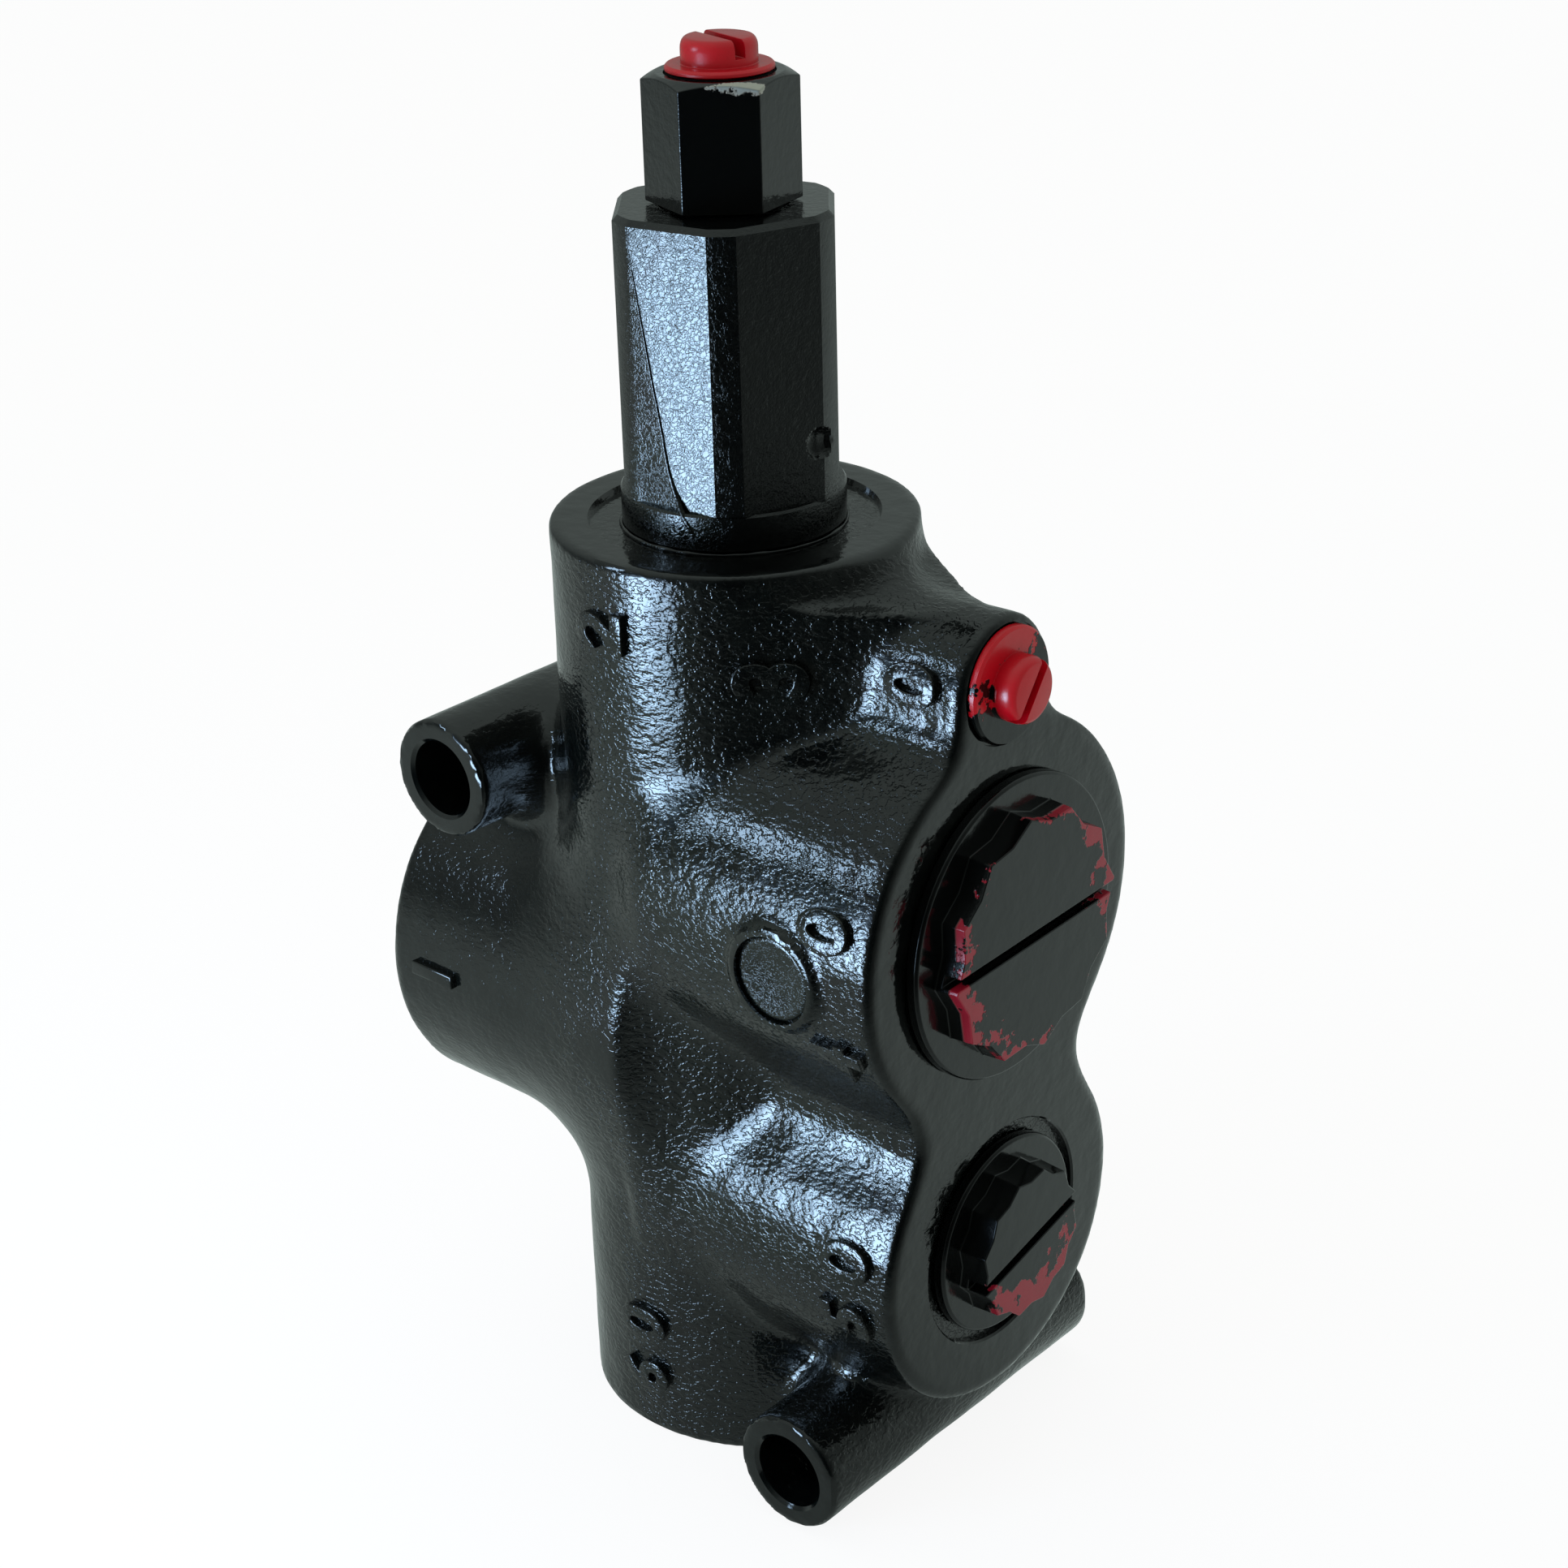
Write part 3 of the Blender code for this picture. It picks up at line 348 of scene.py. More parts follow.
def cast_shape(points):
    """Signed distance in mm to the casting, before any hole is cut."""
    large = rod(points, 0, (0, 0, LARGE_Z), LARGE_R - END_ROUND, END_START, face_x + 2 * OVER) - END_ROUND
    small = rod(points, 0, (0, 0, SMALL_Z), SMALL_R, 0, face_x + OVER)
    signal = rod(points, 0, (0, 0, SIGNAL_Z), SIGNAL_R, 0, face_x + OVER)
    inlet = rod(points, 0, (0, 0, INLET_Z), INLET_R, inlet_x - OVER, 0)
    tower = rod(points, 2, (0, 0, 0), BARREL_R, -OVER, tower_top + OVER)
    skin = fillet(tower, fillet(large, small, OUTLET_FILLET), TOWER_FILLET)
    skin = fillet(skin, signal, SIGNAL_FILLET)
    skin = fillet(skin, web_shape(points, tower) + WEB_EASE, WEB_JOIN)
    skin = fillet(skin, inlet, INLET_FILLET)
    for tube_x, tube_z in TUBES:
        tube = rod(points, 1, (tube_x, 0, tube_z), TUBE_R, -tube_end - OVER, tube_end + OVER)
        skin = fillet(skin, tube, TUBE_FILLET)
    skin = skin + sand_lumps(points)
    pad = rod(points, 1, (CORE_X, 0, CORE_Z), CORE_PAD_R, -core_face, -core_face + CORE_PAD_LONG)
    skin = fillet(skin, pad, PAD_FILLET)
    x, y, z = points.T
    for face, wide in ((x - face_x, PORT_EASE), (inlet_x - x, INLET_EASE), (z - tower_top, END_EASE),
                       (-z, END_EASE), (np.abs(y) - tube_end, TUBE_EASE)):
        skin = trim(skin, face, wide)
    return skin


# %% [markdown]
# The casting's inside: the spool's bore, a gallery round it at each port and a passage out to each port. No
# view shows more of them than a plug's hole does, so they are plain rods taken out of the field.

# %% The bore, galleries and passages
BORE_R, BORE_LOW, BORE_DROP = 9.0, 8.0, 4.0
GALLERY_R, GALLERY_HALF = 12.2, 6.0
passages = ((LARGE_Z, 7.0, 0, face_x - 12), (INLET_Z, 7.0, inlet_x + 12, 0), (SMALL_Z, 5.5, 0, face_x - 11),
            (SIGNAL_Z - 5.2, 2.2, 0, face_x - 11))
BORE_EASE = 0.3


def body_field(points):
    """The casting with its inner bore, galleries and passages taken out."""
    hollow = rod(points, 2, (0, 0, 0), BORE_R, BORE_LOW, tower_top - BORE_DROP)
    for z in (LARGE_Z, INLET_Z, SMALL_Z):
        hollow = np.minimum(hollow, rod(points, 2, (0, 0, 0), GALLERY_R, z - GALLERY_HALF, z + GALLERY_HALF))
    for z, radius, low, high in passages:
        hollow = np.minimum(hollow, rod(points, 0, (0, 0, z), radius, low, high))
    return trim(cast_shape(points), -hollow, BORE_EASE)


print("distance at the middle of the port face:", cast_shape(np.array([[face_x, 0.0, LARGE_Z]])).round(2))

# %% [markdown]
# ## From the field to a mesh
# A metaball or a remesh modifier could skin such a shape, but both need a mesh or blobs to start from.
# Surface nets do it in a few array steps: every grid cell that the surface crosses gets one corner, every
# crossed grid edge gets one four-sided face, and the corners then slide along the field's slope until they
# lie on the surface.

# %% Skin the field
GRID_STEP = 0.72
GRID_MARGIN, SLIDES, LEAST_STEEP = 2.0, 3, 0.05


def slope(field, points, reach=0.02):
    """The field's value and its slope at each point."""
    out = np.empty_like(points)
    for k in range(3):
        shift = reach * np.eye(3)[k]
        out[:, k] = (field(points + shift) - field(points - shift)) / (2 * reach)
    return field(points), out


def skin_field(field, low, high, step):
    """Corners and four-sided faces of the surface where the field is zero."""
    count = np.ceil((high - low) / step).astype(int) + 1
    lines = [low[k] + step * np.arange(count[k]) for k in range(3)]
    grid = np.stack(np.meshgrid(*lines, indexing="ij"), axis=-1).reshape(-1, 3)
    value = field(grid).reshape(count)
    inside = value < 0
    corners = [(i, j, k) for i in (0, 1) for j in (0, 1) for k in (0, 1)]
    a, b, c = count - 1
    filled = sum(inside[i:a + i, j:b + j, k:c + k].astype(np.int8) for i, j, k in corners)
    crossed = (filled > 0) & (filled < 8)
    cells = np.argwhere(crossed)
    number = np.full(crossed.shape, -1)
    number[crossed] = np.arange(len(cells))
    total, hits = np.zeros((len(cells), 3)), np.zeros((len(cells), 1))
    for corner in corners:
        for k in range(3):
            if corner[k]:
                continue
            other = np.array(corner) + np.eye(3, dtype=int)[k]
            start, end = value[tuple((cells + corner).T)], value[tuple((cells + other).T)]
            cut = (start < 0) != (end < 0)
            share = np.where(cut, start / np.where(cut, start - end, 1), 0)
            total[cut] += (np.array(corner) + share[:, None] * np.eye(3)[k])[cut]
            hits[cut] += 1
    points = low + step * (cells + total / hits)
    faces = []
    for k in range(3):
        u, v = (k + 1) % 3, (k + 2) % 3
        edge = inside != np.roll(inside, -1, axis=k)
        for axis, drop in ((k, -1), (u, 0), (v, 0)):
            edge.swapaxes(0, axis)[drop] = False
        at = np.argwhere(edge)
        du, dv = np.eye(3, dtype=int)[u], np.eye(3, dtype=int)[v]
        ring = np.stack([number[tuple(cell.T)] for cell in (at - du - dv, at - dv, at, at - du)], axis=1)
        faces.append(np.where(inside[tuple(at.T)][:, None], ring, ring[:, ::-1]))
    for _ in range(SLIDES):
        height, tilt = slope(field, points)
        steep = np.maximum((tilt * tilt).sum(1, keepdims=True), LEAST_STEEP)
        points = points - np.clip(height[:, None] * tilt / steep, -0.5 * step, 0.5 * step)
    return points, np.concatenate(faces)


body_points, body_faces = skin_field(body_field, body_low - GRID_MARGIN, body_high + GRID_MARGIN, GRID_STEP)
print("casting skin:", len(body_points), "corners,", len(body_faces), "faces")

# %% [markdown]
# ## Turned tools and cuts
# Every hole in the body was cut by a tool that spins, so every cutter is a profile spun about an axis. One
# Boolean step with these cutters gives sharp round rims, whatever the grid of the casting. The same spinning
# function makes the collars, flanges and stems later.


# %% Meshes, spins and Booleans
def show(name, data):
    """An object in the scene that holds a mesh, a curve, a lamp or a camera."""
    thing = bpy.data.objects.new(name, data)
    bpy.context.scene.collection.objects.link(thing)
    return thing


def new_object(name, points=(), faces=()):
    """An object from points in mm and faces with any number of corners."""
    mesh = bpy.data.meshes.new(name)
    mesh.from_pydata((np.reshape(points, (-1, 3)) * MM).tolist(), [],
                     faces.tolist() if isinstance(faces, np.ndarray) else list(faces))
    return show(name, mesh)


def frozen(thing):
    """A mesh of what an object shows, modifiers and bevels included."""
    bpy.context.view_layer.update()
    return bpy.data.meshes.new_from_object(thing.evaluated_get(bpy.context.evaluated_depsgraph_get()))


def grid_faces(rows, columns, gap=0):
    """Four-sided faces between rows of points; with a gap of 1 the last column isn't joined to the first."""
    return [[low + k, low + (k + 1) % columns, low + columns + (k + 1) % columns, low + columns + k]
            for low in range(0, (rows - 1) * columns, columns) for k in range(columns - gap)]


def capped(name, points, columns):
    """A closed solid from rings of points, the lowest ring first."""
    count = len(points)
    caps = [list(range(columns))[::-1], list(range(count - columns, count))]
    return new_object(name, points, grid_faces(count // columns, columns) + caps)


def spun(name, profile, steps=96):
    """A closed turned solid: (radius, height) points in mm from the low end of the axis to the high end."""
    turn = [math.tau * k / steps for k in range(steps)]
    return capped(name, [(r * math.cos(a), r * math.sin(a), z) for r, z in profile for a in turn], steps)


# %% [markdown]
# The same few steps then come back for every piece: put it in place, join it with others, cut one shape with
# another, and give it its finish, its shading and the body that it rides on.

# %% Place, join, carve and dress
TO_PLUS_X = Matrix.Rotation(math.pi / 2, 4, "Y")
TO_MINUS_X = Matrix.Rotation(-math.pi / 2, 4, "Y")
TO_MINUS_Y = Matrix.Rotation(math.pi / 2, 4, "X")
UPRIGHT = Matrix.Identity(4)


def put(thing, at, turn=UPRIGHT):
    """Places an object's own mesh at a point in mm."""
    thing.data.transform(Matrix.Translation(Vector(at) * MM) @ turn)
    return thing


def join(things):
    """One object from several."""
    shape = bmesh.new()
    for thing in things:
        shape.from_mesh(thing.data)
        if thing is not things[0]:
            bpy.data.objects.remove(thing)
    shape.to_mesh(things[0].data)
    shape.free()
    return things[0]


def carve(thing, tool, how="DIFFERENCE"):
    """Applies one Boolean step and removes the tool."""
    step = thing.modifiers.new("carve", "BOOLEAN")
    step.operation, step.object, step.solver = how, tool, "EXACT"
    done = frozen(thing)
    thing.modifiers.clear()
    thing.data = done
    bpy.data.objects.remove(tool)
    return thing


def dress(thing, finish, body, *nodes, sharp=35.0, bevel=0.0):
    """Gives a piece its finish and shading, and puts it on its body in place of the nodes it stands for."""
    thing.data.materials.clear()
    thing.data.materials.append(finish)
    thing.data.polygons.foreach_set("material_index", [0] * len(thing.data.polygons))
    thing.data.shade_smooth()
    thing.data.set_sharp_from_angle(angle=math.radians(sharp))
    if bevel:
        ease = thing.modifiers.new("ease", "BEVEL")
        ease.width, ease.segments, ease.limit_method = bevel * MM, 2, "ANGLE"
        ease.angle_limit = math.radians(sharp)
        ease.harden_normals = True
    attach(thing, body)
    if nodes:
        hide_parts(*nodes)
    print("dressed", thing.name, "with", len(thing.data.polygons), "faces")
    return thing


# %% [markdown]
# The cutters: the bonnet's spot-face and hole, four ports with their seal rooms, the pilot port in the base,
# the sealed core hole, and the bolt holes with a small chamfer at each end. Each profile starts below the
# floor of the hole and ends outside the body.

# %% Cut the holes
HOLE_R, HOLE_CHAMFER, PAST = 5.0, 0.45, 3.0
SPOT_DEEP, SPOT_R, SPOT_FLARE = 0.8, 17.7, 0.3
LARGE_HOLE, SMALL_HOLE, SIGNAL_HOLE = 13.6, 9.8, 5.6
SMALL_SPOT_DEEP, SMALL_SPOT_R, SMALL_FLARE = 1.0, 14.95, 0.25
SIGNAL_SPOT_DEEP, SIGNAL_SPOT_R = 0.4, 7.5
SEAL_STEP, SEAL_DEEP = 2.0, 2.9

casting = new_object("cast_body", body_points, body_faces)
spot_z = tower_top - SPOT_DEEP
bonnet_rim = [(11.5, tower_top - 19.2), (11.5, spot_z - 2.3), (13.2, spot_z - 2.3), (13.2, spot_z),
              (SPOT_R, spot_z), (SPOT_R + SPOT_FLARE, tower_top), (SPOT_R + SPOT_FLARE, tower_top + PAST)]
port_rim = [(LARGE_HOLE, -19.5), (LARGE_HOLE, -SEAL_DEEP), (LARGE_HOLE + SEAL_STEP, -SEAL_DEEP),
            (LARGE_HOLE + SEAL_STEP, PAST)]
small_rim = [(SMALL_HOLE, -16.5), (SMALL_HOLE, -SEAL_DEEP), (SMALL_HOLE + SEAL_STEP, -SEAL_DEEP),
             (SMALL_HOLE + SEAL_STEP, 0.0), (SMALL_SPOT_R, 0.0),
             (SMALL_SPOT_R, SMALL_SPOT_DEEP - SMALL_FLARE), (SMALL_SPOT_R + SMALL_FLARE, SMALL_SPOT_DEEP),
             (SMALL_SPOT_R + SMALL_FLARE, 4.0)]
signal_rim = [(SIGNAL_HOLE, -12.5), (SIGNAL_HOLE, -1.7), (6.8, -1.7), (6.8, 0.0), (SIGNAL_SPOT_R, 0.0),
              (SIGNAL_SPOT_R, 4.0)]
pilot_rim = [(13.8, -PAST), (13.8, -0.01), (13.5, 0.3), (13.5, 6.0), (11.6, 6.0), (11.6, 8.2), (9.8, 8.2),
             (9.8, 19.3)]
bolt_rim = [(HOLE_R + HOLE_CHAMFER, -tube_end - PAST), (HOLE_R + HOLE_CHAMFER, -tube_end - 0.01),
            (HOLE_R, -tube_end + HOLE_CHAMFER), (HOLE_R, tube_end - HOLE_CHAMFER),
            (HOLE_R + HOLE_CHAMFER, tube_end + 0.01), (HOLE_R + HOLE_CHAMFER, tube_end + PAST)]
cuts = [(bonnet_rim, (0, 0, 0), UPRIGHT), (port_rim, (face_x, 0, LARGE_Z), TO_PLUS_X),
        (port_rim, (inlet_x, 0, INLET_Z), TO_MINUS_X),
        (small_rim, (face_x - SMALL_SPOT_DEEP, 0, SMALL_Z), TO_PLUS_X),
        (signal_rim, (face_x - SIGNAL_SPOT_DEEP, 0, SIGNAL_Z), TO_PLUS_X),
        ([(5.6, -1.6), (5.6, 4.0)], (CORE_X, -core_face, CORE_Z), TO_MINUS_Y),
        (pilot_rim, (0, 0, 0), UPRIGHT)]
cutters = [put(spun("cut", rim), at, turn) for rim, at, turn in cuts]
cutters += [put(spun("cut", bolt_rim, 64), (x, 0, z), TO_MINUS_Y) for x, z in TUBES]
carve(casting, join(cutters))
dress(casting, cast_enamel, "valve", "valve_body", sharp=40.0)

# %% [markdown]
# ## Raised numbers
# The pattern maker set a raised mark beside each port, lying on its side, so that the foundry casts it with
# the body. Here they are plain port numbers. Blender's own font is turned to a mesh, and each of its corners
# is dropped on to the casting by walking along the field, then lifted by its own height, so that the digits
# follow the curve of the boss.

# %% Raised numbers
DIGIT_TALL, DIGIT_LIFT, DIGIT_SINK, DIGIT_BEVEL, DIGIT_WEIGHT = 9.6, 0.95, 0.6, 0.20, 0.22
DROP_FROM, DROP_STEPS, DROP_SHARE = -45.0, 70, 0.8
digits = [("1", (-32.4, 59.3)), ("2", (-0.8, 115.0)), ("3", (18.6, 111.0)), ("0", (34.6, 112.0)),
          ("4", (36.2, 70.4)), ("0", (34.8, 87.0)), ("5", (34.9, 32.6)), ("0", (34.9, 40.6)),
          ("6", (0.2, 8.8)), ("0", (0.2, 16.8))]


def drop_on_body(x, z):
    """Points on the casting that are first met along +Y, for arrays of x and z in mm."""
    points = np.stack([x, np.full_like(x, DROP_FROM), z], axis=1)
    for _ in range(DROP_STEPS):
        points[:, 1] += np.clip(DROP_SHARE * cast_shape(points), -1.0, 4.0)
    return points


def raised_digit(text, at):
    """Points and faces of one digit on the side of the body; it reads upwards, with its top towards -X."""
    letter = bpy.data.curves.new("digit", "FONT")
    letter.body, letter.size, letter.align_x, letter.align_y = text, DIGIT_TALL, "CENTER", "CENTER"
    letter.extrude, letter.bevel_depth, letter.bevel_resolution = 0.5, DIGIT_BEVEL, 2
    letter.offset, letter.resolution_u = DIGIT_WEIGHT, 4
    flat = show("digit", letter)
    mesh = frozen(flat)
    bpy.data.objects.remove(flat)
    local = np.array([v.co for v in mesh.vertices])
    points = drop_on_body(at[0] - local[:, 1], at[1] + local[:, 0])
    _, out = slope(cast_shape, points)
    out /= np.linalg.norm(out, axis=1, keepdims=True)
    span = local[:, 2].max()
    lift = np.interp(local[:, 2], (-span, span), (-DIGIT_SINK, DIGIT_LIFT))
    return points + out * lift[:, None], [list(p.vertices) for p in mesh.polygons]


numbers = join([new_object("raised_numbers", *raised_digit(text, at)) for text, at in digits])
shape = bmesh.new()
shape.from_mesh(numbers.data)
bmesh.ops.remove_doubles(shape, verts=shape.verts, dist=0.005 * MM)
bmesh.ops.recalc_face_normals(shape, faces=shape.faces)
shape.to_mesh(numbers.data)
shape.free()
dress(numbers, cast_enamel, "valve", sharp=50.0)

# %% [markdown]
# ## Bonnet
# A round bar with six flats milled on it, so that narrow strips of the round are left between them. A
# hexagon cut by Booleans would stay perfectly flat, but the paint has sagged on one flat, and the spot of a
# drill breaks the edge of another. So the side is a grid of angles and heights whose radius is a formula,
# and the sag and the drill spot are taken off it.

# %% Bonnet side
FLATS_R, CORNER_R = 12.85, 13.95
FIRST_FLAT = math.radians(-80.0)
COLLAR_R, COLLAR_TOP = 13.75, 4.1
bonnet_low = tower_top - SPOT_DEEP + 0.3
flats_low, bonnet_top = tower_top + COLLAR_TOP, tower_top + 38.2
TOP_CHAMFER = 0.7
FLAT_COLUMNS, CORNER_COLUMNS, SIDE_ROWS = 45, 8, 110
flat_half = math.acos(FLATS_R / CORNER_R)
flat_reach = FLATS_R * math.tan(flat_half)
corner_turn = math.tau / 6 - 2 * flat_half
DRILL_SPOT, DRILL_R, DRILL_DEEP = (math.radians(-20.0), 5.2, 134.7), 1.9, 1.1
RUN_PATH = [(158.5, -5.2), (154.6, -4.7), (149.1, -3.7), (142.5, -2.7), (137.0, -1.6),
            (132.5, -1.1), (129.2, 0.1)]
SAG_TILT, SAG_EDGE = 0.13, 0.3

angles = []
for k in range(6):
    middle = FIRST_FLAT + k * math.tau / 6
    angles += [middle + math.atan(s / FLATS_R) for s in np.linspace(-flat_reach, flat_reach, FLAT_COLUMNS)]
    angles += [middle + flat_half + corner_turn * t for t in np.linspace(0, 1, CORNER_COLUMNS)[1:-1]]
angles = np.array(angles)
heights = np.concatenate([np.linspace(flats_low, bonnet_top - TOP_CHAMFER, SIDE_ROWS), [bonnet_top]])


def bonnet_radius(angle, z):
    """The bonnet's radius in mm at an angle and a height, with the paint's sag and the drill spot."""
    turn = (angle - FIRST_FLAT + math.pi / 6) % (math.tau / 6) - math.pi / 6
    radius = np.where(np.abs(turn) < flat_half, FLATS_R / np.cos(turn), CORNER_R)
    from_first = (angle - FIRST_FLAT + math.pi) % math.tau - math.pi
    along = np.clip(FLATS_R * np.tan(np.clip(from_first, -1.2, 1.2)), -flat_reach, None)
    path = np.interp(z, [p[0] for p in RUN_PATH[::-1]], [p[1] for p in RUN_PATH[::-1]])
    sag = -SAG_TILT * SAG_EDGE * np.log1p(np.exp((path - along) / SAG_EDGE))
    fade = np.clip(1 + (from_first + flat_half) / corner_turn, 0, 1) ** 2
    radius = radius + np.where(from_first <= flat_half + 1e-6, sag * fade, 0)
    spot = np.hypot(CORNER_R * (angle - DRILL_SPOT[0]) - DRILL_SPOT[1], z - DRILL_SPOT[2]) / DRILL_R
    return radius - DRILL_DEEP * np.sqrt(np.maximum(1 - spot * spot, 0))


rows = []
for z in heights:
    pull = TOP_CHAMFER if z == bonnet_top else 0.0
    radius = bonnet_radius(angles, np.full_like(angles, min(z, bonnet_top - TOP_CHAMFER))) - pull
    rows.append(np.stack([radius * np.cos(angles), radius * np.sin(angles), np.full_like(angles, z)], axis=1))
print("bonnet side:", len(angles), "columns,", len(rows), "rows, drill spot", DRILL_R, "mm")

# %% [markdown]
# Below the flats comes the round collar that seats on the body, and then the threaded nose. The grid is
# closed by flat caps, and the collar and nose are spun and joined on. Inside, the bonnet is bored for the
# spool's spring, which is hidden but has to be open where the spring moves.

# %% Bonnet whole
bonnet = capped("bonnet_skin", np.concatenate(rows), len(angles))
nose_z = bonnet_low - 14.7
collar = spun("collar", [(10.5, nose_z), (11.1, nose_z + 0.6), (11.1, bonnet_low - 3.0),
                         (10.3, bonnet_low - 3.0), (10.3, bonnet_low), (COLLAR_R - 0.3, bonnet_low),
                         (COLLAR_R, bonnet_low + 0.3), (COLLAR_R, flats_low - 0.25),
                         (COLLAR_R - 0.25, flats_low + 0.05)], 120)
carve(bonnet, collar, "UNION")
chamber_top, seat_top, neck_top = bonnet_top - 18.5, bonnet_top - 11.3, bonnet_top - 1.3
carve(bonnet, spun("spring_room", [
    (8.3, nose_z - 2), (8.3, chamber_top), (2.5, chamber_top), (2.5, chamber_top + 3.3),
    (5.6, chamber_top + 3.3), (5.6, seat_top), (6.7, seat_top), (6.7, neck_top), (7.8, neck_top),
    (7.8, bonnet_top + 2)], 64))
dress(bonnet, turned_enamel, "valve", "bonnet", sharp=18.0)

# %% [markdown]
# ## Paint runs
# Too much paint at once leaves a run: a bead that starts thin, wanders down and ends in a drop. A curve with
# a round bevel whose radius changes from point to point is the quickest way to draw one, sunk half into the
# surface. One bead crosses the left flat along the edge of the sag and ends over the collar, and an uneven
# one lies round the bonnet's foot.


# %% Paint runs
def bead(name, points, radii, closed=False):
    """A round bead of paint through points in mm, with its own radius at each point."""
    line = bpy.data.curves.new(name, "CURVE")
    line.dimensions, line.bevel_depth, line.bevel_resolution, line.resolution_u = "3D", MM, 3, 6
    line.use_fill_caps = True
    run = line.splines.new("NURBS")
    run.points.add(len(points) - 1)
    for knot, point, radius in zip(run.points, points, radii):
        knot.co, knot.radius = (*(c * MM for c in point), 1.0), radius
    run.order_u, run.use_endpoint_u, run.use_cyclic_u = 4, not closed, closed
    curve = show(name, line)
    mesh = frozen(curve)
    bpy.data.objects.remove(curve)
    return show(name, mesh)


RUN_SINK, RUN_END = 0.12, ((1.2, 127.4, 13.45), (2.2, 126.0, 13.62), (3.0, 124.9, 13.6))
RUN_RADII = [0.16, 0.24, 0.28, 0.30, 0.32, 0.36, 0.42, 0.46, 0.40, 0.22]
FOOT_KNOTS, FOOT_THIN, FOOT_BULGE = 60, 0.12, 0.5
run_points = []
for z, along in RUN_PATH:
    angle = FIRST_FLAT + math.atan(along / FLATS_R)
    radius = float(bonnet_radius(np.array([angle]), np.array([z]))[0]) - RUN_SINK
    run_points.append((radius * math.cos(angle), radius * math.sin(angle), z))
for along, z, out in RUN_END:
    angle = FIRST_FLAT + along / COLLAR_R
    run_points.append((out * math.cos(angle), out * math.sin(angle), z))
flat_run = bead("flat_run", run_points, RUN_RADII)
draw = np.random.default_rng(3)
foot_r, foot_z = COLLAR_R + 0.1, bonnet_low - 0.15
foot_turn = np.linspace(0, math.tau, FOOT_KNOTS, endpoint=False)
foot_points = [(foot_r * math.cos(a), foot_r * math.sin(a), foot_z) for a in foot_turn]
foot = bead("foot_bead", foot_points, FOOT_THIN + FOOT_BULGE * draw.random(FOOT_KNOTS) ** 3, closed=True)
runs = dress(join([flat_run, foot]), turned_enamel, "valve", sharp=60.0)
runs.name = "paint_runs"

# %% [markdown]
# ## Relief cartridge
# A small hexagon with a turned crown, screwed into the bonnet. A hexagon bar meets a cone at the top, so it
# is the overlap of two simple solids; a bevel eases its edges, because the paint rounds them and the bright
# line down the front corner needs a round edge to sit on.

# %% Relief cartridge
KEY_FLATS = 16.0
KEY_TURN = math.radians(-49.4 + 30.0)
key_low, key_top = bonnet_top + 0.3, bonnet_top + 15.2
key_corner = KEY_FLATS / math.sqrt(3)
TOP_PORT_R = 5.8
cartridge_nose, port_floor, rim_z = key_low - 11.0, key_top - 7.9, key_top - 0.9

cartridge = spun("cartridge_skin", [(key_corner, key_low), (key_corner, key_top)], 6)
cartridge.data.transform(Matrix.Rotation(KEY_TURN, 4, "Z"))
crown = spun("crown", [(key_corner + 1, key_low - 1), (key_corner + 1, key_top - 1.3),
                       (KEY_FLATS / 2 - 0.5, key_top), (KEY_FLATS / 2 - 0.6, key_top + 0.001)])
carve(cartridge, crown, "INTERSECT")
nose = spun("nose", [(6.0, cartridge_nose), (6.4, cartridge_nose + 0.5), (6.4, key_low + 1.0)], 64)
carve(cartridge, nose, "UNION")
carve(cartridge, spun("poppet_room", [
    (4.8, cartridge_nose - 1), (4.8, key_low + 2.8), (4.3, key_low + 2.8), (4.3, port_floor),
    (TOP_PORT_R, port_floor), (TOP_PORT_R, rim_z), (TOP_PORT_R + 0.7, rim_z),
    (TOP_PORT_R + 0.7, key_top + 2)], 64))
dress(cartridge, turned_enamel, "valve", "adapter", sharp=20.0, bevel=0.32)

# %% [markdown]
# ## Core cap
# The foundry's core hole in the large boss is closed by a thin steel disc that is pressed in and dished by
# the punch. It is spun, with a shallow dish and a rolled rim.

# %% Core cap
cap = spun("core_disc", [(5.2, -1.3), (5.3, -0.9), (5.3, -0.55), (5.05, -0.4), (4.6, -0.42), (3.0, -0.60),
                         (0.6, -0.66)], 64)
put(cap, (CORE_X, -core_face, CORE_Z), TO_MINUS_Y)
dress(cap, turned_enamel, "valve", "core_cap", sharp=40.0)

# %% [markdown]
# ## Spring copies
# A spring gets shorter as the piece at its end moves in. The imported coils are true to size, and each is
# copied with a mesh of its own. The relief spring is pressed from both ends, by the poppet and by the
# adjusting screw, and its copy is cut at its middle into two halves. The relief spring is pressed from both
# ends, by the poppet and by the adjusting screw, but a coil can follow one joint only.


def coil_copy(name, node, cut_z=None, keep_side=1):
    """A copy of a packed spring, whole or only what lies above (1) or below (-1) a height in metres."""
    bpy.context.view_layer.update()
    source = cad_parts[node]
    shape = bmesh.new()
    shape.from_mesh(source.data)
    shape.transform(source.matrix_world)
    bmesh.ops.remove_doubles(shape, verts=shape.verts, dist=0.001 * MM)
    if cut_z is not None:
        cut = bmesh.ops.bisect_plane(shape, geom=[*shape.verts, *shape.edges, *shape.faces],
                                     plane_co=(0, 0, cut_z), plane_no=(0, 0, -keep_side), clear_outer=True)
        bmesh.ops.holes_fill(shape, edges=[e for e in cut["geom_cut"] if isinstance(e, bmesh.types.BMEdge)])
    coil = new_object(name)
    shape.to_mesh(coil.data)
    shape.free()
    return coil


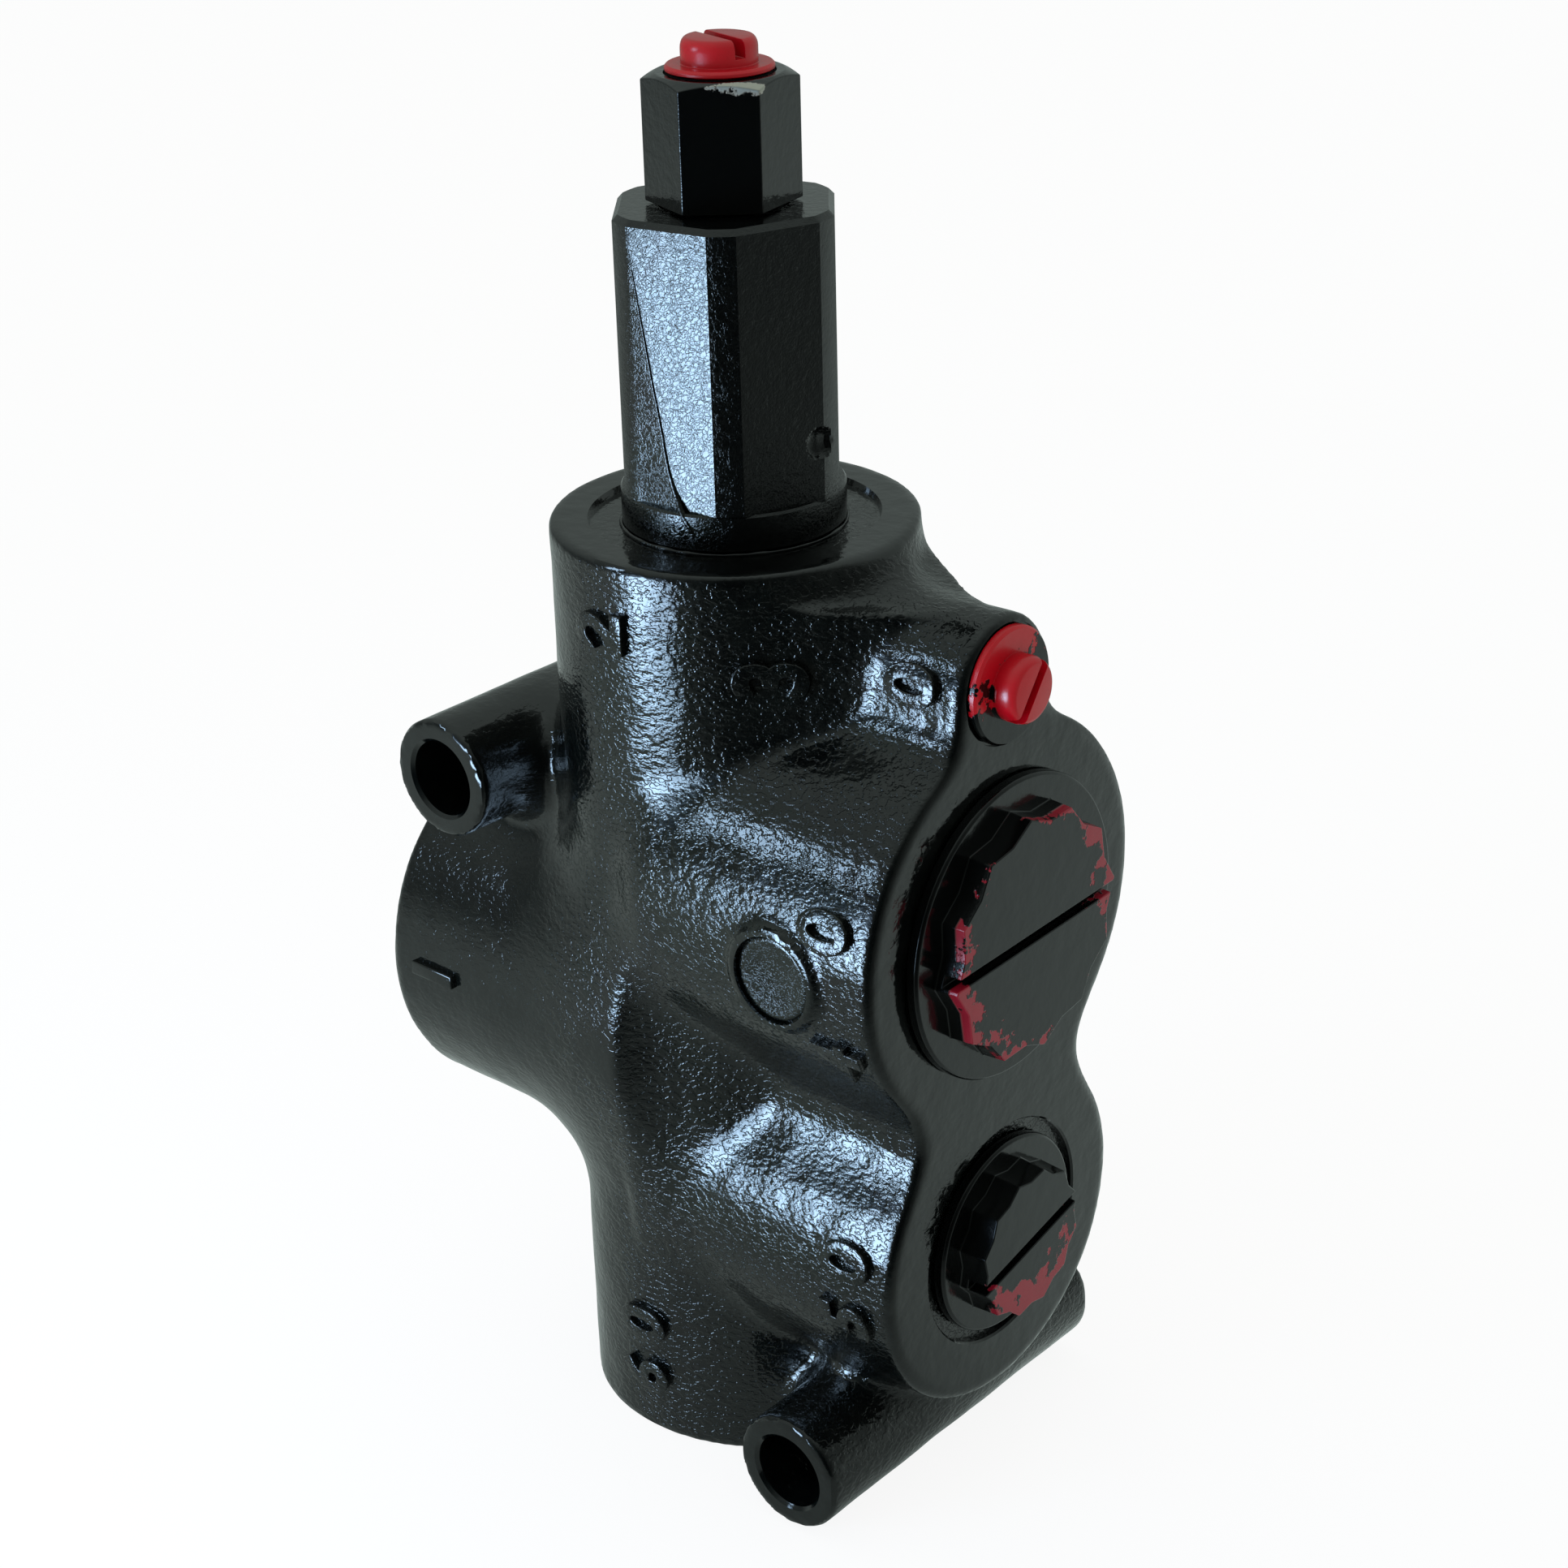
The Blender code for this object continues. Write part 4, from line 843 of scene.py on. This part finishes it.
spool_coil = dress(coil_copy("spool_coil", "spool_spring"), spring_wire, "valve", "spool_spring")
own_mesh(spool_coil)
relief_low, relief_high = (corner.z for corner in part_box("relief_spring"))
relief_middle = (relief_low + relief_high) / 2
lower_coil = dress(coil_copy("relief_coil_lower", "relief_spring", relief_middle, -1), spring_wire, "valve",
                   "relief_spring")
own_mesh(lower_coil)
upper_coil = dress(coil_copy("relief_coil_upper", "relief_spring", relief_middle, 1), spring_wire, "valve")
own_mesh(upper_coil)

# %% [markdown]
# ## Shipping plugs
# Each plug is one moulding: a threaded stem, a thin flange, and a head with a slot for a coin or a
# screwdriver. The large ones have a head with twelve points for a spanner, the small ones a round head with
# a domed edge. A star could be drawn as a curve and extruded; here its corners are listed in one line, the
# head is joined to the spun flange, and a narrow box cuts the slot. A bevel eases the edges, as moulded
# plastic has no sharp ones.

# %% Plug maker
SLOT_WIDE, SLOT_FLOOR = 1.35, 0.3
STAR_VALLEY, STAR_DRAFT = 0.915, 0.25
THREAD_DEEP, THREAD_TOP, NECK_IN, TIP_IN = 0.7, -2.7, 1.0, 1.6
SEAT_GAP, HEAD_ROOT, FLANGE_EASE = 0.3, 0.4, 0.3
DOME_SHARE, DOME_PULL = 0.45, 0.26


def star_bar(name, radius, low, high, points):
    """A bar with a star section, a little narrower at the top so that it leaves the mould."""
    turn = [math.tau * k / (2 * points) for k in range(2 * points)]
    ring = [(radius * (STAR_VALLEY if k % 2 else 1.0)) for k in range(2 * points)]
    corners = [((r - lean) * math.cos(a), (r - lean) * math.sin(a), z)
               for z, lean in ((low, 0.0), (high, STAR_DRAFT)) for r, a in zip(ring, turn)]
    return capped(name, corners, 2 * points)


def thread(radius, low, high, pitch):
    """Profile points of a moulded thread's crests and roots."""
    points = []
    z = low
    while z + pitch <= high:
        points += [(radius - THREAD_DEEP, z), (radius, z + 0.35 * pitch), (radius, z + 0.55 * pitch)]
        z += pitch
    return points + [(radius - THREAD_DEEP, z)]


def plug(name, stem_r, stem_long, flange_r, flange_thick, head_r, head_tall, pitch, points,
         slot_turn, star_turn):
    """A plug in its own frame: the port's face is z = 0 and the head points up, with star points or round."""
    under, top = SEAT_GAP, SEAT_GAP + flange_thick
    thing = spun(name, [(stem_r - TIP_IN, -stem_long), *thread(stem_r, -stem_long + 0.4, THREAD_TOP, pitch),
                        (stem_r - NECK_IN, -2.6), (stem_r - NECK_IN, under), (flange_r, under),
                        (flange_r, top - FLANGE_EASE), (flange_r - FLANGE_EASE, top)], 80)
    if points:
        head = star_bar("head", head_r, top - HEAD_ROOT, top + head_tall, points)
        head.data.transform(Matrix.Rotation(star_turn, 4, "Z"))
    else:
        crown = [(head_r - DOME_PULL * head_tall * (1 - math.cos(a)),
                  top + head_tall * (1 - DOME_SHARE + DOME_SHARE * math.sin(a)))
                 for a in np.linspace(0, math.pi / 2, 7)]
        head = spun("head", [(head_r, top - HEAD_ROOT), *crown], 48)
    carve(thing, head, "UNION")
    wide, long, floor = SLOT_WIDE / 2, head_r * 1.2, top + SLOT_FLOOR * head_tall
    slot = capped("slot", [(x, y, z) for z in (floor, top + head_tall + 2) for x, y in
                           ((-wide, -long), (wide, -long), (wide, long), (-wide, long))], 4)
    slot.data.transform(Matrix.Rotation(slot_turn, 4, "Z"))
    return carve(thing, slot)


# %% [markdown]
# Five plugs use that maker: large outlet, inlet, small outlet, signal and top, each with its own patch of
# paint. Each object's own origin lies on its axis, so its finish is measured from the middle of the plug.

# %% Place the plugs
large_red = red_plug_finish("red_polyethylene_mostly_painted", DULL_RED, 16.0, (0.30, -0.55), 0.9, 2.00, 3.6,
                            both_sides=True)
small_red = red_plug_finish("red_polyethylene_half_painted", DULL_RED, 10.2, (0.66, 0.14), 0.35, 1.30, 4.4)
# The signal plug's flange is black from over-spray next to the head and from painted shade on its lower side,
# away from the window; the red shows on its upper side.
signal_red = red_plug_finish("red_polyethylene_flange_overspray_and_painted_shade", FRESH_RED, 7.2, (-0.65, -0.25), 0.0, 0.98,
                             clean_above=1.7)
clean_red = red_plug_finish("red_polyethylene_bare", FRESH_RED, 4.5, (-0.10, 0.05), -0.10, 0.20)

# Stem radius and length, flange radius and thickness, head radius and height, pitch, points of the star
LARGE_SIZE = (13.0, 14.0, 19.3, 1.5, 16.0, 3.2, 2.1, 12)
SMALL_SIZE = (9.2, 12.0, 13.15, 1.5, 10.2, 3.8, 1.6, 12)
SIGNAL_SIZE = (5.3, 9.5, 7.2, 1.1, 4.1, 3.0, 1.3, 0)
TOP_SIZE = (5.2, 6.0, 6.4, 0.7, 4.5, 3.0, 1.3, 0)
# Body, piece, size, turns of the slot and the star in degrees, place, way and finish
plugs = (
    ("large_outlet_plug", "large_plug", LARGE_SIZE, 1.7, 5.8, (face_x, 0, LARGE_Z), TO_PLUS_X, large_red),
    ("inlet_plug", "inlet_plug_skin", LARGE_SIZE, 20.0, 0.0, (inlet_x, 0, INLET_Z), TO_MINUS_X, large_red),
    ("small_outlet_plug", "small_plug", SMALL_SIZE, 13.7, 16.0, (face_x - SMALL_SPOT_DEEP, 0, SMALL_Z),
     TO_PLUS_X, small_red),
    ("signal_plug", "signal_plug_skin", SIGNAL_SIZE, 54.0, 0.0, (face_x - SIGNAL_SPOT_DEEP, 0, SIGNAL_Z),
     TO_PLUS_X, signal_red),
    ("top_plug", "top_plug_skin", TOP_SIZE, 75.0, 0.0, (0, 0, key_top - 0.1), UPRIGHT, clean_red))
for node, piece, size, slot_turn, star_turn, at, turn, finish in plugs:
    thing = plug(piece, *size, math.radians(slot_turn), math.radians(star_turn))
    thing.matrix_world = Matrix.Translation(Vector(at) * MM) @ turn
    dress(thing, finish, node, node, sharp=30.0, bevel=0.16)

# %% [markdown]
# ## Floor, light and camera
# Gloss black shows its surroundings more than itself, so the studio matters as much as the paint: a white
# tent all round, a ring of grey cards that keeps the front faces deep, and a window to the left that draws
# the bright streaks. The floor is near white to the camera and keeps a soft shadow.

# %% Floor
FLOOR_SPAN, FLOOR_GLOW = 12.0, 0.9
span = FLOOR_SPAN / MM
floor = new_object("studio_floor", [(-span, -span, 0), (span, -span, 0), (span, span, 0), (-span, span, 0)],
                   [[0, 1, 2, 3]])
paper, add, shader, place = start_material("white_paper_sweep")
feed(shader, {"Base Color": linear("#f2f2f2"), "Roughness": 0.9})
glow = add("Emission")
rays = add("LightPath").node.outputs
seen = add("Math", [rays["Is Camera Ray"], rays["Is Glossy Ray"]], operation="MAXIMUM")
seen = add("Math", [seen, rays["Is Transmission Ray"]], operation="MAXIMUM")
share = add("Math", [seen, FLOOR_GLOW], operation="MULTIPLY")
mixed = add("MixShader", [share, shader.outputs[0], glow])
feed(paper.node_tree.nodes["Material Output"], {"Surface": mixed})
floor.data.materials.append(paper)

world = bpy.data.worlds.new("white_tent")
world.use_nodes = True
feed(world.node_tree.nodes["Background"], {"Color": linear("#f4f8f6"), "Strength": 0.9})
bpy.context.scene.world = world
print("floor and tent are", FLOOR_SPAN * 2, "m across")

# %% [markdown]
# Inside the white tent stands a ring of grey cards that only reflections see: dark on the camera's side,
# paler behind and to the left, as a room is. A card for each side would leave hard lines in the gloss, so it
# is one ring whose tone runs smoothly from side to side, kept in a colour attribute.

# %% Grey cards
CARD_STEPS, CARD_FAR, CARD_TINT = 72, 450.0, (0.85, 1.0, 0.95)
CARD_SIDES = (-180, -150, -120, -90, -60, -30, 0, 30, 60, 90, 120, 150, 180)
FLOOR_NEAR = (0.45, 0.45, 0.40, 0.33, 0.30, 0.28, 0.30, 0.55, 0.70, 0.50, 0.45, 0.45, 0.45)
FLOOR_MID = (0.50, 0.50, 0.55, 0.30, 0.05, 0.04, 0.12, 0.45, 0.70, 0.55, 0.42, 0.45, 0.50)
FLOOR_FAR = (0.45, 0.45, 0.60, 0.20, 0.01, 0.01, 0.11, 0.32, 0.55, 0.38, 0.36, 0.42, 0.45)
WALL_LOW = (0.20, 0.17, 0.20, 0.15, 0.01, 0.01, 0.10, 0.20, 0.40, 0.34, 0.36, 0.25, 0.20)
WALL_HIGH = (0.40, 0.40, 0.35, 0.25, 0.05, 0.05, 0.10, 0.20, 0.40, 0.40, 0.36, 0.36, 0.40)
CEILING = (0.60,) * len(CARD_SIDES)
card_rings = [(2.0, 0.3, FLOOR_NEAR), (70.0, 0.3, FLOOR_NEAR), (200.0, 0.3, FLOOR_MID),
              (CARD_FAR, 0.3, FLOOR_FAR), (CARD_FAR, 150.0, WALL_LOW), (CARD_FAR, 400.0, WALL_HIGH),
              (2.0, 620.0, CEILING)]
card_turn = np.linspace(-180, 180, CARD_STEPS, endpoint=False)
card_corners = [(radius * math.cos(math.radians(a)), radius * math.sin(math.radians(a)), z)
                for radius, z, _ in card_rings for a in card_turn]
card_tones = [np.interp(a, CARD_SIDES, tones) for _, _, tones in card_rings for a in card_turn]
card_paper = bpy.data.materials.new("grey_card_paper")
card_paper.use_nodes = True
tone = add_node(card_paper.node_tree, "Attribute", attribute_name="tone")
lit = add_node(card_paper.node_tree, "Emission", {"Color": tone})
feed(card_paper.node_tree.nodes["Material Output"], {"Surface": lit})


def lit_card(name, corners, faces, tones, tint, diffuse=False):
    """A card that only reflections see, with its own light at each corner."""
    card = new_object(name, corners, faces)
    for spot, tone in zip(card.data.color_attributes.new("tone", "FLOAT_COLOR", "POINT").data, tones):
        spot.color = (*(c * tone for c in tint), 1.0)
    card.data.materials.append(card_paper)
    card.visible_camera = card.visible_shadow = card.visible_transmission = False
    card.visible_diffuse = diffuse
    print(name, "has", len(faces), "faces, tone up to", round(float(max(tones)), 2))


lit_card("grey_cards", card_corners, grid_faces(len(card_rings), CARD_STEPS), card_tones, CARD_TINT)

# %% [markdown]
# The window has three panes, flat cards close to the left that are soft at the edges and bluish like the
# sky: a wide low one gives the streak on the tower and lights the bonnet's flat, a narrow one over it gives
# the line down the cartridge's corner, and a small high one gives the thin bands on top of the bosses. They
# also light the piece a little. A softbox overhead keeps a soft shadow on the floor.

# %% Window panes and softbox
PANE_Y = -238.0
SKY_BRIGHT = 0.71
SKY = [c / SKY_BRIGHT for c in linear("#bee0ff")[:3]]
# Each pane: light by place along X, and its share by height, both in mm
panes = {
    "low_pane": (((-140, 0), (-132, 9), (-112, 11), (-104, 21), (-86, 23), (-75, 21), (-50, 19), (-25, 14),
                  (0, 9), (18, 0)),
                 ((2, 0), (12, 0.5), (22, 0.78), (50, 0.78), (64, 0.75), (99, 0.75), (106, 0.15), (135, 0.05),
                  (182, 0))),
    "corner_pane": (((-106, 0), (-98, 16), (-82, 16), (-74, 0)), ((100, 0), (105, 1), (121, 1), (126, 0))),
    "high_pane": (((-212, 0), (-202, 8.5), (-150, 8.5), (-138, 0)), ((186, 0), (198, 1), (248, 1), (262, 0))),
}
for name, (columns, rows) in panes.items():
    corners = [(x, PANE_Y, z) for z, _ in rows for x, _ in columns]
    tones = [tone * share for _, share in rows for _, tone in columns]
    lit_card(name, corners, grid_faces(len(rows), len(columns), gap=1), tones, SKY, True)

softbox = bpy.data.lights.new("softbox", "AREA")
softbox.size = softbox.energy = 0.8
softbox_lamp = show("softbox", softbox)
softbox_lamp.location = (-0.2, -0.1, 1.2)
softbox_lamp.visible_glossy = False
print("softbox", round(softbox.size, 2), "m wide")

# %% [markdown]
# The camera stands where the photograph was taken: its place and turn were worked out from the round rims
# and straight edges that show in the picture, with a plain lens and no shift.

# %% Camera
view = bpy.data.cameras.new("photo_camera")
view.lens, view.sensor_width, view.clip_start = 67.90, 36.0, 0.01
camera = show("photo_camera", view)
right = Vector((0.757593, 0.65224, -0.025208))
down = Vector((0.257753, -0.334421, -0.906491))
ahead = Vector((-0.59968, 0.680254, -0.421472))
turn = Matrix((right, -down, -ahead)).transposed().to_4x4()
camera.matrix_world = Matrix.Translation((0.22957, -0.25273, 0.24522)) @ turn
bpy.context.scene.camera = camera
bpy.context.scene.view_settings.view_transform = "Standard"
print("camera lens", round(view.lens, 1), "mm, from", [round(c, 3) for c in camera.matrix_world.translation])
